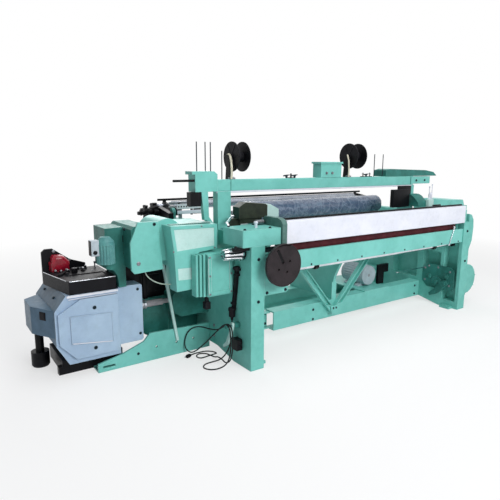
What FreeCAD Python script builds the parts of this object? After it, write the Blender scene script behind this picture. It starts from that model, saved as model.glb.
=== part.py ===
"""Rapier power loom with a side dobby, in millimetres.

The origin lies on the floor, at the middle of the four anchor holes in the feet.
X runs along the loom to the weaver's right, Y from the weaver to the back, Z up.
"""
import FreeCAD
import Part
import Sketcher
import math
import os

os.makedirs("parts", exist_ok=True)
doc = FreeCAD.newDocument("power_loom")

# ---------------------------------------------------------------- driving dimensions
DRIVING = (
    # side frames
    ("frame_gap", 2524),
    ("frame_thick", 118),
    ("frame_depth", 1500),
    ("post_depth", 230),
    ("post_rise", 55),
    ("frame_rise", 75),
    ("frame_shoulder", 300),
    ("frame_rear_drop", 90),
    ("foot_length", 230),
    ("arch_rise", 50),
    ("arch_slope", 240),
    ("web_thick", 30),
    ("rim_width", 38),
    ("casting_radius", 12),
    ("lug_reach", 62),
    ("lug_length", 110),
    ("lug_thick", 22),
    ("anchor_radius", 9),
    ("anchor_inset", 32),
    ("anchor_setback", 115),
    # low beams, middle beam and braces
    ("beam_setback", 480),
    ("beam_depth", 120),
    ("beam_height", 170),
    ("beam_wall", 10),
    ("beam_left_gap", 462),
    ("rear_beam_setback", 1000),
    ("middle_setback", 400),
    ("middle_depth", 80),
    ("middle_base", 620),
    ("middle_height", 80),
    ("brace_apex_offset", 100),
    ("brace_apex_height", 105),
    ("brace_left_run", 440),
    ("brace_right_run", 476),
    ("brace_width", 58),
    ("brace_depth", 40),
    ("gusset_thick", 10),
    ("centre_plate_thick", 30),
    # breast beam, board and rail
    ("breast_gap", 10),
    ("breast_lip_drop", 12),
    ("breast_setback", 10),
    ("breast_depth", 190),
    ("breast_shelf", 70),
    ("breast_wall", 20),
    ("board_rise", 50),
    ("board_height", 172),
    ("board_thick", 22),
    ("board_proud", 8),
    ("board_flange", 60),
    ("board_left", 310),
    ("cap_width", 43),
    ("rail_radius", 20),
    ("rail_setback", 110),
    ("rail_drop", 26),
    ("clip_width", 34),
    ("clip_left", 710),
    ("clip_right", 2300),
    # take-up roller and hand knob
    ("take_up_radius", 70),
    ("take_up_setback", 110),
    ("take_up_height", 870),
    ("take_up_left", 345),
    ("take_up_right", 2550),
    ("take_up_journal", 20),
    ("knob_length", 150),
    ("knob_radius", 48),
    ("knob_nose", 31),
    ("flute_depth", 5),
    ("flute_count", 10),
    ("knob_taper", 6),
    # headblocks
    ("headblock_height", 120),
    ("headblock_reach", 149),
    ("headblock_overhang", 70),
    ("headblock_depth", 270),
    # hand wheel
    ("wheel_radius", 155),
    ("wheel_thick", 24),
    ("wheel_offset", 95),
    ("wheel_drop", 135),
    ("wheel_inset", 95),
    ("wheel_shaft", 18),
    ("wheel_bracket_width", 215),
    ("wheel_bracket_base", 556),
    ("wheel_bracket_drop", 79),
    ("wheel_bracket_depth", 80),
    ("crank_length", 96),
    ("crank_width", 20),
    ("crank_angle", 28),
    # sley and reed
    ("rocker_setback", 440),
    ("rocker_lift", 52),
    ("rocker_radius", 28),
    ("rocker_block", 40),
    ("sley_left", 330),
    ("sley_right", 2530),
    ("sley_setback", 300),
    ("sley_depth", 80),
    ("sley_base", 900),
    ("sley_height", 50),
    ("sley_leg_width", 36),
    ("reed_height", 98),
    ("reed_thick", 10),
    # rollers at the back
    ("cloth_radius", 95),
    ("cloth_setback", 860),
    ("cloth_rise", 70),
    ("cloth_left", 450),
    ("cloth_right", 2310),
    ("heald_beam_drop", 100),
    ("heald_beam_height", 60),
    ("heald_beam_depth", 100),
    ("cradle_height", 52),
    ("whip_radius", 42),
    ("whip_setback", 1500),
    ("whip_rise", 100),
    ("journal_radius", 20),
    ("running_gap", 0.05),
    # top beam
    ("top_beam_rise", 290),
    ("top_beam_height", 90),
    ("top_beam_depth", 70),
    ("top_beam_setback", 450),
    ("top_beam_joint", 2375),
    ("top_beam_end", 2662),
    ("post_plate", 40),
    ("reel_radius", 115),
    ("reel_width", 105),
    ("reel_rise", 172),
    ("rod_radius", 4),
    ("rod_length", 215),
    # main motor and left drive side
    ("motor_offset", 1940),
    ("motor_radius", 105),
    ("motor_ribs", 24),
    ("motor_rib_depth", 5),
    ("housing_gap", 97),
    ("housing_width", 373),
    ("housing_base", 600),
    ("housing_height", 472),
    ("housing_setback", 300),
    ("housing_depth", 420),
    ("housing_drum", 112),
    ("chin_height", 168),
    ("chin_depth", 110),
    ("gearbox_width", 230),
    ("gearbox_base", 550),
    ("gearbox_drop", 63),
    ("gearbox_setback", 200),
    ("gearbox_depth", 220),
    ("guard_setback", 420),
    ("guard_thick", 18),
    ("guard_base", 742),
    ("guard_height", 359),
    ("guard_reach", 715),
    ("drive_box_left", 700),
    ("drive_box_base", 770),
    ("drive_box_top", 1070),
    ("drive_box_depth", 420),
    ("drive_motor_offset", 851),
    ("drive_motor_setback", 531),
    ("drive_motor_base", 818),
    ("drive_motor_radius", 62),
    ("gear_case_width", 320),
    ("base_rail_setback", 600),
    ("base_rail_reach", 925),
    ("base_rail_top", 205),
    ("base_rail_thick", 18),
    # dobby
    ("dobby_setback", 600),
    ("dobby_depth", 600),
    ("dobby_width", 448),
    ("dobby_height", 497),
    ("dobby_base", 106),
    ("dobby_shaft_setback", 700),
    ("dobby_shaft_height", 425),
    ("dobby_shaft_radius", 18),
    ("dobby_right", 745),
    ("dobby_chamfer", 80),
    ("cover_proud", 22),
    ("side_box_width", 180),
    ("control_height", 97),
    ("foot_setback", 990),
    # motor outside the right post
    ("outer_drum_radius", 150),
    ("outer_motor_radius", 92),
    ("outer_motor_length", 160),
    # pedal and cable
    ("pedal_setback", 160),
    ("pedal_height", 318),
    ("pedal_pin", 8),
    ("cable_radius", 5),
    ("connector_setback", 209),
    ("connector_base", 344),
)

sheet = doc.addObject("Spreadsheet::Sheet", "Sizes")
for row, (alias, number) in enumerate(DRIVING, 1):
    sheet.set(f"A{row}", alias)
    sheet.set(f"B{row}", str(number))
    sheet.setAlias(f"B{row}", alias)
doc.recompute()


class Size:
    """A length as a number together with the sheet formula that gives it."""

    def __init__(self, number, formula):
        self.number = number
        self.formula = formula

    def __add__(self, other):
        other = size(other)
        return Size(self.number + other.number, f"({self.formula} + {other.formula})")

    def __sub__(self, other):
        other = size(other)
        return Size(self.number - other.number, f"({self.formula} - {other.formula})")

    def __mul__(self, other):
        other = size(other)
        return Size(self.number * other.number, f"({self.formula} * {other.formula})")

    def __truediv__(self, other):
        other = size(other)
        return Size(self.number / other.number, f"({self.formula} / {other.formula})")

    def __neg__(self):
        return Size(-self.number, f"(0 - {self.formula})")

    __radd__ = __add__
    __rmul__ = __mul__

    def __rsub__(self, other):
        return size(other) - self


def size(value):
    """Give a plain number the same form as a named size."""
    if isinstance(value, Size):
        return value
    return Size(float(value), f"({value})")


class Names:
    """Every row of the sheet as an attribute, such as S.post_top."""


S = Names()
for alias, number in DRIVING:
    setattr(S, alias, Size(float(number), f"Sizes.{alias}"))

# heights that follow the take-up roller, so that what carries it and what it clears go with it
S.post_top = S.take_up_height + S.post_rise
S.frame_top = S.post_top + S.frame_rise
S.board_base = S.take_up_height + S.board_rise
S.breast_base = S.take_up_height - S.take_up_radius - S.breast_gap - S.breast_shelf
S.breast_lip_top = S.take_up_height - S.breast_lip_drop
S.rail_centre = S.breast_base - S.rail_drop
S.wheel_height = S.post_top - S.wheel_drop
S.wheel_bracket_height = S.post_top - S.wheel_bracket_drop - S.wheel_bracket_base
S.gearbox_height = S.post_top - S.gearbox_drop - S.gearbox_base
S.heald_beam_base = S.frame_top - S.heald_beam_drop
S.cloth_height = S.frame_top + S.cloth_rise
S.whip_height = S.frame_top + S.whip_rise
S.top_beam_base = S.frame_top + S.top_beam_rise
S.reel_axis_height = S.top_beam_base + S.top_beam_height + S.reel_rise

ZERO = size(0)
subparts = {}


# ---------------------------------------------------------------- drawing helpers
PLANES = {"plan": ("XY_Plane", 1), "front": ("XZ_Plane", -1), "end": ("YZ_Plane", 1)}
REVOLVE = {"X": ("front", "H_Axis"), "Y": ("end", "H_Axis"), "Z": ("front", "V_Axis")}


def place(thing, x=0, y=0, z=0):
    """Bind the position of a body or primitive to its formulas."""
    for letter, value in (("x", x), ("y", y), ("z", z)):
        value = size(value)
        setattr(thing.Placement.Base, letter, value.number)
        thing.setExpression(f"Placement.Base.{letter}", value.formula)
    return thing


def body(name, x=0, y=0, z=0):
    """Start a sub-part as a feature body at a place of its own."""
    thing = doc.addObject("PartDesign::Body", name)
    thing.Label = name
    place(thing, x, y, z)
    subparts[name] = thing
    return thing


def origin_feature(owner, role):
    """Find an origin plane or axis of a body by its role."""
    for feature in owner.Origin.OriginFeatures:
        if feature.Role == role:
            return feature
    raise ValueError(role)


def sketch_on(owner, plane, start):
    """Attach an empty sketch at a distance along the plane's positive axis."""
    role, sense = PLANES[plane]
    sketch = owner.newObject("Sketcher::SketchObject", owner.Name + "_sketch")
    sketch.AttachmentSupport = [(origin_feature(owner, role), "")]
    sketch.MapMode = "FlatFace"
    start = size(start) * sense
    sketch.AttachmentOffset.Base.z = start.number
    sketch.setExpression("AttachmentOffset.Base.z", start.formula)
    return sketch


def pin(sketch, kind, edge, point, value):
    """Hold one point of an edge at a distance from the sketch origin."""
    value = size(value)
    rule = Sketcher.Constraint(kind, -1, 1, edge, point, value.number)
    index = sketch.addConstraint(rule)
    sketch.setExpression(f"Constraints[{index}]", value.formula)


def polygon(sketch, corners):
    """Close an outline through corners that are each pinned to formulas."""
    corners = [(size(across), size(up)) for across, up in corners]
    first = sketch.GeometryCount
    points = [FreeCAD.Vector(across.number, up.number, 0) for across, up in corners]
    count = len(points)
    for index, point in enumerate(points):
        following = points[(index + 1) % count]
        sketch.addGeometry(Part.LineSegment(point, following))
    for index in range(count):
        joined = first + (index + 1) % count
        sketch.addConstraint(Sketcher.Constraint("Coincident", first + index, 2, joined, 1))
    for index, (across, up) in enumerate(corners):
        pin(sketch, "DistanceX", first + index, 1, across)
        pin(sketch, "DistanceY", first + index, 1, up)


def circle(sketch, across, up, radius):
    """Draw a circle with its centre and radius bound to formulas."""
    across, up, radius = size(across), size(up), size(radius)
    centre = FreeCAD.Vector(across.number, up.number, 0)
    edge = sketch.addGeometry(Part.Circle(centre, FreeCAD.Vector(0, 0, 1), radius.number))
    pin(sketch, "DistanceX", edge, 3, across)
    pin(sketch, "DistanceY", edge, 3, up)
    index = sketch.addConstraint(Sketcher.Constraint("Radius", edge, radius.number))
    sketch.setExpression(f"Constraints[{index}]", radius.formula)


def rectangle(low_across, low_up, high_across, high_up):
    """List the corners of an upright rectangle."""
    return [(low_across, low_up), (high_across, low_up),
            (high_across, high_up), (low_across, high_up)]


def draw(sketch, outlines):
    """Draw polygons (lists of corners) and circles (three values) into a sketch."""
    for outline in outlines:
        if isinstance(outline, tuple):
            circle(sketch, *outline)
        else:
            polygon(sketch, outline)


def extrude(owner, plane, start, length, *outlines):
    """Pad outlines from a start along the plane's positive axis."""
    sketch = sketch_on(owner, plane, start)
    draw(sketch, outlines)
    feature = owner.newObject("PartDesign::Pad", owner.Name + "_pad")
    feature.Profile = sketch
    length = size(length)
    feature.Length = length.number
    feature.setExpression("Length", length.formula)
    feature.Reversed = PLANES[plane][1] < 0
    return feature


def cut(owner, plane, start, length, *outlines):
    """Pocket outlines from a start along the plane's positive axis."""
    sketch = sketch_on(owner, plane, start)
    draw(sketch, outlines)
    feature = owner.newObject("PartDesign::Pocket", owner.Name + "_pocket")
    feature.Profile = sketch
    length = size(length)
    feature.Length = length.number
    feature.setExpression("Length", length.formula)
    feature.Reversed = PLANES[plane][1] > 0
    return feature


def revolve(owner, axis, corners):
    """Turn a profile of (along, radius) corners about one axis of the body."""
    plane, line = REVOLVE[axis]
    sketch = sketch_on(owner, plane, 0)
    if axis == "Z":
        corners = [(radius, along) for along, radius in corners]
    polygon(sketch, corners)
    feature = owner.newObject("PartDesign::Revolution", owner.Name + "_turned")
    feature.Profile = sketch
    feature.ReferenceAxis = (sketch, [line])
    feature.Angle = 360
    return feature


def ribbed(radius, depth, count):
    """List the corners of a round section whose outline has ribs half a pitch wide."""
    corners = []
    count = int(size(count).number)
    for step in range(count):
        for share, reach in ((0.0, radius), (0.4, radius), (0.6, radius - depth), (0.8, radius - depth)):
            angle = 2 * math.pi * (step + share) / count
            corners.append((reach * math.cos(angle), reach * math.sin(angle)))
    return corners


def long_edges(shape, axis, wanted):
    """Name the straight edges along an axis whose middle passes a test."""
    names = []
    for index, edge in enumerate(shape.Edges, 1):
        if edge.Curve.TypeId != "Part::GeomLine":
            continue
        if edge.tangentAt(edge.FirstParameter).cross(axis).Length > 1e-6:
            continue
        if wanted(edge.CenterOfMass):
            names.append(f"Edge{index}")
    return names


AXES = {"X": FreeCAD.Vector(1, 0, 0), "Y": FreeCAD.Vector(0, 1, 0), "Z": FreeCAD.Vector(0, 0, 1)}


def soften(owner, axis, radius, wanted=None, chamfer=False):
    """Round or chamfer the straight edges of a body that lie along an axis."""
    doc.recompute()
    tip = owner.Tip
    names = long_edges(tip.Shape, AXES[axis], wanted or (lambda middle: True))
    kind = "PartDesign::Chamfer" if chamfer else "PartDesign::Fillet"
    feature = owner.newObject(kind, owner.Name + "_edges")
    feature.Base = (tip, names)
    radius = size(radius)
    field = "Size" if chamfer else "Radius"
    setattr(feature, field, radius.number)
    feature.setExpression(field, radius.formula)
    return feature


def primitive(kind, name, x, y, z, axis="Z", **fields):
    """Make a Part primitive standing along an axis, its sizes bound to formulas."""
    thing = doc.addObject(kind, name)
    for field, value in fields.items():
        value = size(value)
        setattr(thing, field, value.number)
        thing.setExpression(field, value.formula)
    turns = {"X": (0, 1, 0, 90), "Y": (1, 0, 0, -90), "Z": (0, 0, 1, 0)}
    a, b, c, angle = turns[axis]
    thing.Placement.Rotation = FreeCAD.Rotation(FreeCAD.Vector(a, b, c), angle)
    return place(thing, x, y, z)


def rod(name, axis, x, y, z, radius, length):
    """Make a round bar from its start point along an axis."""
    return primitive("Part::Cylinder", name, x, y, z, axis, Radius=radius, Height=length)


def block(name, x, y, z, length, width, height):
    """Make a plain block from its low corner."""
    return primitive("Part::Box", name, x, y, z, Length=length, Width=width, Height=height)


def keep(name, thing):
    """Enter a finished thing as the sub-part of that name."""
    thing.Label = name
    subparts[name] = thing
    return thing


def group(name, things):
    """Keep several separate solids together as one sub-part."""
    thing = doc.addObject("Part::Compound", name)
    thing.Links = things
    return keep(name, thing)


def minus(name, base, tool):
    """Cut one solid out of another."""
    thing = doc.addObject("Part::Cut", name)
    thing.Base = base
    thing.Tool = tool
    return thing


# ---------------------------------------------------------------- shared places
inner = S.frame_gap / 2
outer = inner + S.frame_thick
front = -S.frame_depth / 2
rear = S.frame_depth / 2
left_edge = -outer
SIDES = (("left", -1), ("right", 1))


def across(distance):
    """Give X at a distance to the right of the left frame's outer face."""
    return left_edge + distance


def behind(distance):
    """Give Y at a distance behind the front faces of the posts."""
    return front + distance


def bare(name, x=0, y=0, z=0):
    """Start a feature body that will be one solid of a group."""
    return place(doc.addObject("PartDesign::Body", name), x, y, z)


def prism(name, plane, start, length, *outlines):
    """Make one plain prism for a group; outlines after the first may be holes."""
    thing = bare(name)
    extrude(thing, plane, start, length, *outlines)
    return thing


def box_at(name, left, right, near, far, low, high):
    """Make a block between two offsets from the left frame and two from the front."""
    return block(name, across(left), behind(near), low, size(right) - left,
                 size(far) - near, size(high) - low)


# ---------------------------------------------------------------- side frames
def side_frame(name, sense):
    """Cast side frame: box post, web with a rim, ribs, feet with anchor lugs."""
    web_x = -outer if sense < 0 else inner
    frame = body(name, web_x, 0, 0)
    arch_front = behind(S.post_depth)
    arch_rear = rear - S.foot_length
    profile = [
        (front, 0),
        (arch_front, 0),
        (arch_front + S.arch_slope, S.arch_rise),
        (arch_rear - S.arch_slope / 2, S.arch_rise),
        (arch_rear, 0),
        (rear, 0),
        (rear, S.frame_top - S.frame_rear_drop),
        (rear - S.frame_shoulder / 2, S.frame_top),
        (behind(S.frame_shoulder), S.frame_top),
        (behind(S.headblock_depth), S.post_top),
        (front, S.post_top),
    ]
    extrude(frame, "end", 0, S.frame_thick, profile)
    lug_x = S.frame_thick if sense < 0 else -S.lug_reach
    for lug_y in (behind(S.anchor_setback), rear - S.anchor_setback):
        low_y = lug_y - S.lug_length / 2
        foot = rectangle(lug_x, low_y, lug_x + S.lug_reach, low_y + S.lug_length)
        extrude(frame, "plan", 0, S.lug_thick, foot)
    recess_x = S.web_thick if sense < 0 else ZERO
    recess = S.frame_thick - S.web_thick
    rim = S.rim_width
    post_back = behind(S.post_depth)
    beam_y = behind(S.beam_setback)
    rear_beam_y = behind(S.rear_beam_setback)
    low = S.arch_rise + S.beam_height + rim
    high = S.frame_top - rim
    bays = (
        rectangle(front + rim, rim * 2, post_back - rim, S.take_up_height - rim * 3),
        rectangle(post_back, low, beam_y - rim, S.middle_base - rim),
        rectangle(beam_y + rim, low, beam_y + S.beam_depth * 3, S.middle_base - rim),
        rectangle(rear_beam_y, low, rear - rim, S.middle_base - rim),
        rectangle(beam_y + rim * 3, S.middle_base, rear_beam_y - rim, high - rim),
        rectangle(rear_beam_y, S.middle_base, rear - S.foot_length, high - rim),
    )
    for bay in bays:
        cut(frame, "end", recess_x, recess, bay)
    bore_x = lug_x + S.anchor_inset if sense < 0 else -S.anchor_inset
    holes = [(bore_x, y, S.anchor_radius)
             for y in (behind(S.anchor_setback), rear - S.anchor_setback)]
    cut(frame, "plan", 0, S.lug_thick, *holes)
    return frame


for side, sense in SIDES:
    side_frame(f"{side}_side_frame", sense)

take_up_bore = (behind(S.take_up_setback), S.take_up_height, S.take_up_journal + S.running_gap)
cut(subparts["left_side_frame"], "end", 0, S.frame_thick, take_up_bore)


# ---------------------------------------------------------------- beams between the frames
def channel(thing, length, depth, height, wall, opens_back):
    """Turn a body into a rolled channel along X, open to the back or to the front."""
    near = wall if opens_back else ZERO
    far = depth if opens_back else depth - wall
    extrude(thing, "end", 0, length, rectangle(0, 0, depth, height))
    cut(thing, "end", 0, length, rectangle(near, wall, far, height - wall))
    return thing


beam_left = across(S.frame_thick + S.beam_left_gap)
beam_y = behind(S.beam_setback)
middle_y = behind(S.middle_setback)
rear_beam_y = behind(S.rear_beam_setback)
beam_top = S.arch_rise + S.beam_height
wall = S.beam_wall
front_channel = bare("front_channel", beam_left, beam_y, S.arch_rise)
channel(front_channel, inner - beam_left, S.beam_depth, S.beam_height, wall, True)
end_channel = bare("end_channel", -inner, beam_y + wall * 5, S.arch_rise + wall)
channel(end_channel, S.beam_left_gap, S.beam_depth - wall * 6, S.beam_height - wall * 2, wall, False)
group("low_front_beam", [front_channel, end_channel])

rear_channel = bare("rear_channel", -inner, rear_beam_y, S.arch_rise)
channel(rear_channel, S.frame_gap, S.beam_depth, S.beam_height, wall, False)
middle_beam = block("middle_beam", -inner, middle_y, S.middle_base,
                    S.frame_gap, S.middle_depth, S.middle_height)
back_beam = block("back_beam", -inner, rear - S.foot_length / 2, S.frame_top - S.beam_height,
                  S.frame_gap, S.middle_depth, S.middle_height)
heald_y = behind(S.cloth_setback) - S.heald_beam_depth / 2
heald_beam = block("heald_beam", -inner, heald_y, S.heald_beam_base,
                   S.frame_gap, S.heald_beam_depth, S.heald_beam_height)
cradle_z = S.heald_beam_base + S.heald_beam_height
cradles = []
cradle_width = 80
cradle_inset = 150
cradle_offsets = (S.cloth_left + cradle_inset, S.cloth_right - cradle_inset - cradle_width)
for index, offset in enumerate(cradle_offsets):
    cradle = block(f"cradle_{index}", across(offset), heald_y, cradle_z,
                   cradle_width, S.heald_beam_depth, S.cradle_height)
    cradle_bed = rod(f"cradle_bed_{index}", "X", across(S.cloth_left), behind(S.cloth_setback),
                     S.cloth_height, S.cloth_radius, S.cloth_right - S.cloth_left)
    cradles.append(minus(f"cradle_seat_{index}", cradle, cradle_bed))
motor_plate_half = 190
motor_plate = block("motor_plate", across(S.motor_offset) - motor_plate_half, beam_y, beam_top,
                    motor_plate_half * 2, rear_beam_y + S.beam_depth - beam_y, wall)
group("cross_beams", [rear_channel, middle_beam, back_beam, heald_beam, motor_plate] + cradles)


def support_plate():
    """Plate from the low beams up to the middle beam, with a flanged front edge."""
    plate = bare("support_plate", -S.brace_apex_offset + S.centre_plate_thick / 2, 0, 0)
    back = rear_beam_y + S.beam_depth
    waist = beam_top + S.beam_height
    reach = beam_y - middle_y
    profile = [
        (beam_y, beam_top),
        (beam_y, waist),
        (beam_y - reach / 8, waist + reach * 0.75),
        (beam_y - reach / 2, waist + reach * 1.5),
        (middle_y, S.middle_base - S.rim_width),
        (middle_y, S.middle_base),
        (middle_y + S.middle_depth, S.middle_base),
        (back, waist - S.rim_width / 2),
        (back, beam_top),
    ]
    extrude(plate, "end", 0, S.centre_plate_thick, profile)
    flange = rectangle(beam_y, beam_top, beam_y + wall, waist)
    half = S.centre_plate_thick / 2
    extrude(plate, "end", -half, S.centre_plate_thick * 2, flange)
    return plate


def brace_arm(name, sense, run):
    """Channel-shaped arm of the V brace, from the low beam up to the middle beam."""
    arm = bare(name, -S.brace_apex_offset, beam_y - S.brace_depth, 0)
    top = S.middle_base
    rise = top - S.brace_apex_height
    half = S.brace_width * 0.66

    def along(height, offset):
        """Give the corner at a height above the apex, offset from the centre line."""
        middle = run * height / rise
        return ((middle + offset) * sense, S.brace_apex_height + height)

    foot = half * rise / run
    extrude(arm, "front", 0, S.brace_depth, [
        along(rise, half), along(rise, -half), (0, S.brace_apex_height + foot),
        (0, S.brace_apex_height), (half * sense, S.brace_apex_height)])
    inset = half - wall
    low = S.brace_width * 1.4
    high = rise - wall
    cut(arm, "front", 0, S.brace_depth - wall, [
        along(high, inset), along(high, -inset), along(low, -inset), along(low, inset)])
    return arm


apex = -S.brace_apex_offset
gusset = prism("gusset", "front", beam_y - S.brace_depth - S.gusset_thick, S.gusset_thick, [
    (apex - S.brace_width, S.brace_apex_height + S.brace_width * 1.2),
    (apex - S.rim_width, S.brace_apex_height - wall), (apex + S.rim_width, S.brace_apex_height - wall),
    (apex + S.brace_width, S.brace_apex_height + S.brace_width * 1.2)])
group("centre_brace", [support_plate(), brace_arm("left_arm", -1, S.brace_left_run),
                       brace_arm("right_arm", 1, S.brace_right_run), gusset])


# ---------------------------------------------------------------- breast beam and board
def breast_beam():
    """Pressed breast beam: deep front face, shelf under the roller, back flange."""
    left = across(S.frame_thick + S.wheel_bracket_width)
    beam = body("breast_beam", left, behind(S.breast_setback), S.breast_base)
    wall = S.breast_wall
    profile = [
        (0, 0),
        (0, S.breast_lip_top - S.breast_base),
        (wall, S.breast_lip_top - S.breast_base),
        (wall, S.breast_shelf),
        (S.breast_depth, S.breast_shelf),
        (S.breast_depth, 0),
        (S.breast_depth - wall, 0),
        (S.breast_depth - wall, S.breast_shelf - wall),
        (wall, S.breast_shelf - wall),
        (wall, 0),
    ]
    extrude(beam, "end", 0, inner - left, profile)


breast_beam()

board_left = across(S.board_left)
board_right = inner - S.beam_wall
board_front = front - S.board_proud
board_back = board_front + S.board_thick
board_top = S.board_base + S.board_height


def front_board():
    """Long front guard board with its top edge folded back."""
    board = body("front_board", board_left, board_front, S.board_base)
    fold = S.board_flange + S.board_proud
    lip = S.board_thick / 2
    profile = [
        (0, 0),
        (0, S.board_height),
        (fold, S.board_height),
        (fold, S.board_height - lip),
        (S.board_thick, S.board_height - lip),
        (S.board_thick, 0),
    ]
    extrude(board, "end", 0, board_right - board_left, profile)
    soften(board, "X", 6, lambda middle: middle.y < 1)


front_board()

rail_depth = S.board_thick * 0.9
board_rail = body("board_rail", board_left, board_back + S.board_thick, board_top)
extrude(board_rail, "end", 0, board_right - board_left,
        [(0, 0), (0, rail_depth * 0.6), (rail_depth * 0.3, rail_depth * 0.8),
         (rail_depth, rail_depth * 0.5), (rail_depth, 0)])


head_top = S.post_top + S.headblock_height


def board_caps():
    """End cheeks of the board: a deep rounded one at the left, a thin one at the right."""
    left_cap = bare("left_cap", board_left - S.cap_width)
    low = board_front - 4
    top = board_top + 18
    profile = [
        (low, S.post_top),
        (low, top - 40),
        (low + 22, top - 12),
        (low + 60, top),
        (behind(S.headblock_depth) - 60, top),
        (behind(S.headblock_depth), S.post_top + S.headblock_height),
        (behind(S.headblock_depth), S.post_top),
    ]
    extrude(left_cap, "end", 0, S.cap_width, profile)
    right_cap = bare("right_cap", board_right)
    flange = board_front + S.board_flange + S.board_proud
    extrude(right_cap, "end", 0, S.beam_wall, [
        (board_front, S.board_base), (board_front, board_top + 6), (flange, board_top + 6),
        (flange, head_top), (board_back, head_top), (board_back, S.board_base)])
    group("board_caps", [left_cap, right_cap])


board_caps()


def headblock(name, left, right, low_y, high_y, height):
    """Cast block that sits on a post and carries one end of the board."""
    head = bare(name, left, low_y, S.post_top)
    extrude(head, "plan", 0, height, rectangle(0, 0, right - left, high_y - low_y))
    soften(head, "Z", S.casting_radius)
    return head


oil_cap = bare("oil_cap", across(S.post_depth / 2), front + S.take_up_setback, head_top)
revolve(oil_cap, "Z", [(0, 0), (0, 12), (30, 12), (30, 17), (44, 14), (44, 0)])
group("headblocks", [
    headblock("left_headblock", across(-S.headblock_overhang),
              across(S.frame_thick + S.headblock_reach), front,
              behind(S.headblock_depth), S.headblock_height),
    headblock("right_headblock", inner - 72, inner + 58, board_back,
              behind(S.headblock_depth), S.headblock_height),
    oil_cap])

rail_y = behind(S.rail_setback)
starting_rail = body("starting_rail", 0, rail_y, S.rail_centre)
rail_half = inner - S.beam_wall
revolve(starting_rail, "X", [(-rail_half, 0), (-rail_half, S.rail_radius - 3),
                             (-rail_half + 3, S.rail_radius), (rail_half - 3, S.rail_radius),
                             (rail_half, S.rail_radius - 3), (rail_half, 0)])


def rail_bearing(name, left, width, low_z, high_z):
    """One split bearing that the starting rail turns in."""
    half = S.rail_radius + S.beam_wall
    bearing = bare(name, left, rail_y)
    profile = [
        (-half, high_z),
        (-half, S.rail_centre - half / 2),
        (-half / 2, low_z),
        (half / 2, low_z),
        (half, S.rail_centre - half / 2),
        (half, high_z),
    ]
    extrude(bearing, "end", 0, width, profile)
    cut(bearing, "end", 0, width, (0, S.rail_centre, S.rail_radius + S.running_gap))
    return bearing


shelf_under = S.breast_base + S.breast_shelf - S.breast_wall
rail_low = S.rail_centre - S.rail_radius - S.beam_wall
half_clip = S.clip_width / 2
rail_bearings = [
    rail_bearing("left_clip", across(S.clip_left) - half_clip, S.clip_width, rail_low, shelf_under),
    rail_bearing("right_clip", across(S.clip_right) - half_clip, S.clip_width, rail_low, shelf_under),
    rail_bearing("left_end_block", -inner, S.clip_width, rail_low, shelf_under),
    rail_bearing("right_end_block", inner - S.clip_width, S.clip_width, rail_low, shelf_under),
]


# ---------------------------------------------------------------- take-up roller
take_up_y = behind(S.take_up_setback)
take_up = body("take_up_roller", left_edge, take_up_y, S.take_up_height)
journal = S.take_up_journal
shoulder = 16
take_up_end = S.frame_thick + S.frame_gap - 2
revolve(take_up, "X", [
    (-shoulder, 0), (-shoulder, journal), (S.take_up_left - 30, journal),
    (S.take_up_left - 30, journal + shoulder), (S.take_up_left, journal + shoulder),
    (S.take_up_left, S.take_up_radius), (S.take_up_right, S.take_up_radius),
    (S.take_up_right, journal + shoulder), (S.take_up_right + 20, journal + shoulder),
    (S.take_up_right + 20, journal), (take_up_end, journal), (take_up_end, 0)])


def take_up_knob():
    """Hand knob that widens from its nose to a plain collar, with flutes all along."""
    knob = body("take_up_knob", left_edge - shoulder - S.knob_length, take_up_y, S.take_up_height)
    collar = S.knob_length - 14
    cone = extrude(knob, "end", 0, collar, ribbed(S.knob_nose, S.flute_depth, S.flute_count))
    taper = -S.knob_taper
    cone.TaperAngle = taper.number
    cone.setExpression("TaperAngle", taper.formula)
    extrude(knob, "end", collar, S.knob_length - collar, (0, 0, S.knob_radius))


take_up_knob()


def bearing_block(name, left, centre_y, centre_z, width, depth, low_z, high_z, radius):
    """Plain bearing block with a running bore along X."""
    bearing = bare(name, left, centre_y)
    extrude(bearing, "end", 0, width, rectangle(-depth / 2, low_z, depth / 2, high_z))
    cut(bearing, "end", 0, width, (0, centre_z, radius + S.running_gap))
    soften(bearing, "X", 14, lambda middle: middle.z > centre_z.number)
    return bearing


rocker_y = behind(S.rocker_setback)
middle_top = S.middle_base + S.middle_height
rocker_z = middle_top + S.rocker_lift
bearings = [bearing_block("take_up_bearing", inner - 32, take_up_y, S.take_up_height, size(32),
                          size(84), S.take_up_height - 40, S.take_up_height + 40, journal)]
for index, offset in enumerate((500, 1360, 2260)):
    bearings.append(bearing_block(f"rocker_bearing_{index}", across(offset), rocker_y, rocker_z,
                                  S.rocker_block, S.middle_depth, middle_top,
                                  rocker_z + S.rocker_radius + 12, S.rocker_radius))
group("bearing_blocks", bearings)


# ---------------------------------------------------------------- hand wheel
wheel_x = across(S.frame_thick + S.wheel_inset)
wheel_y = front - S.wheel_offset


def wheel_bracket():
    """Green bracket on the left post that carries the hand wheel shaft."""
    bracket = body("wheel_bracket", -inner, front, S.wheel_bracket_base)
    extrude(bracket, "front", 0, S.wheel_bracket_depth,
            rectangle(0, 0, S.wheel_bracket_width, S.wheel_bracket_height))
    soften(bracket, "Y", S.casting_radius)
    bore = (S.wheel_inset, S.wheel_height - S.wheel_bracket_base, S.wheel_shaft + S.running_gap)
    cut(bracket, "front", 0, S.wheel_bracket_depth, bore)
    recess = rectangle(S.rim_width * 0.6, S.rim_width * 0.6,
                       S.wheel_bracket_width - S.rim_width * 0.6, S.wheel_bracket_height / 2)
    cut(bracket, "front", S.wheel_bracket_depth / 2, S.wheel_bracket_depth / 2, recess)


wheel_bracket()


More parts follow.
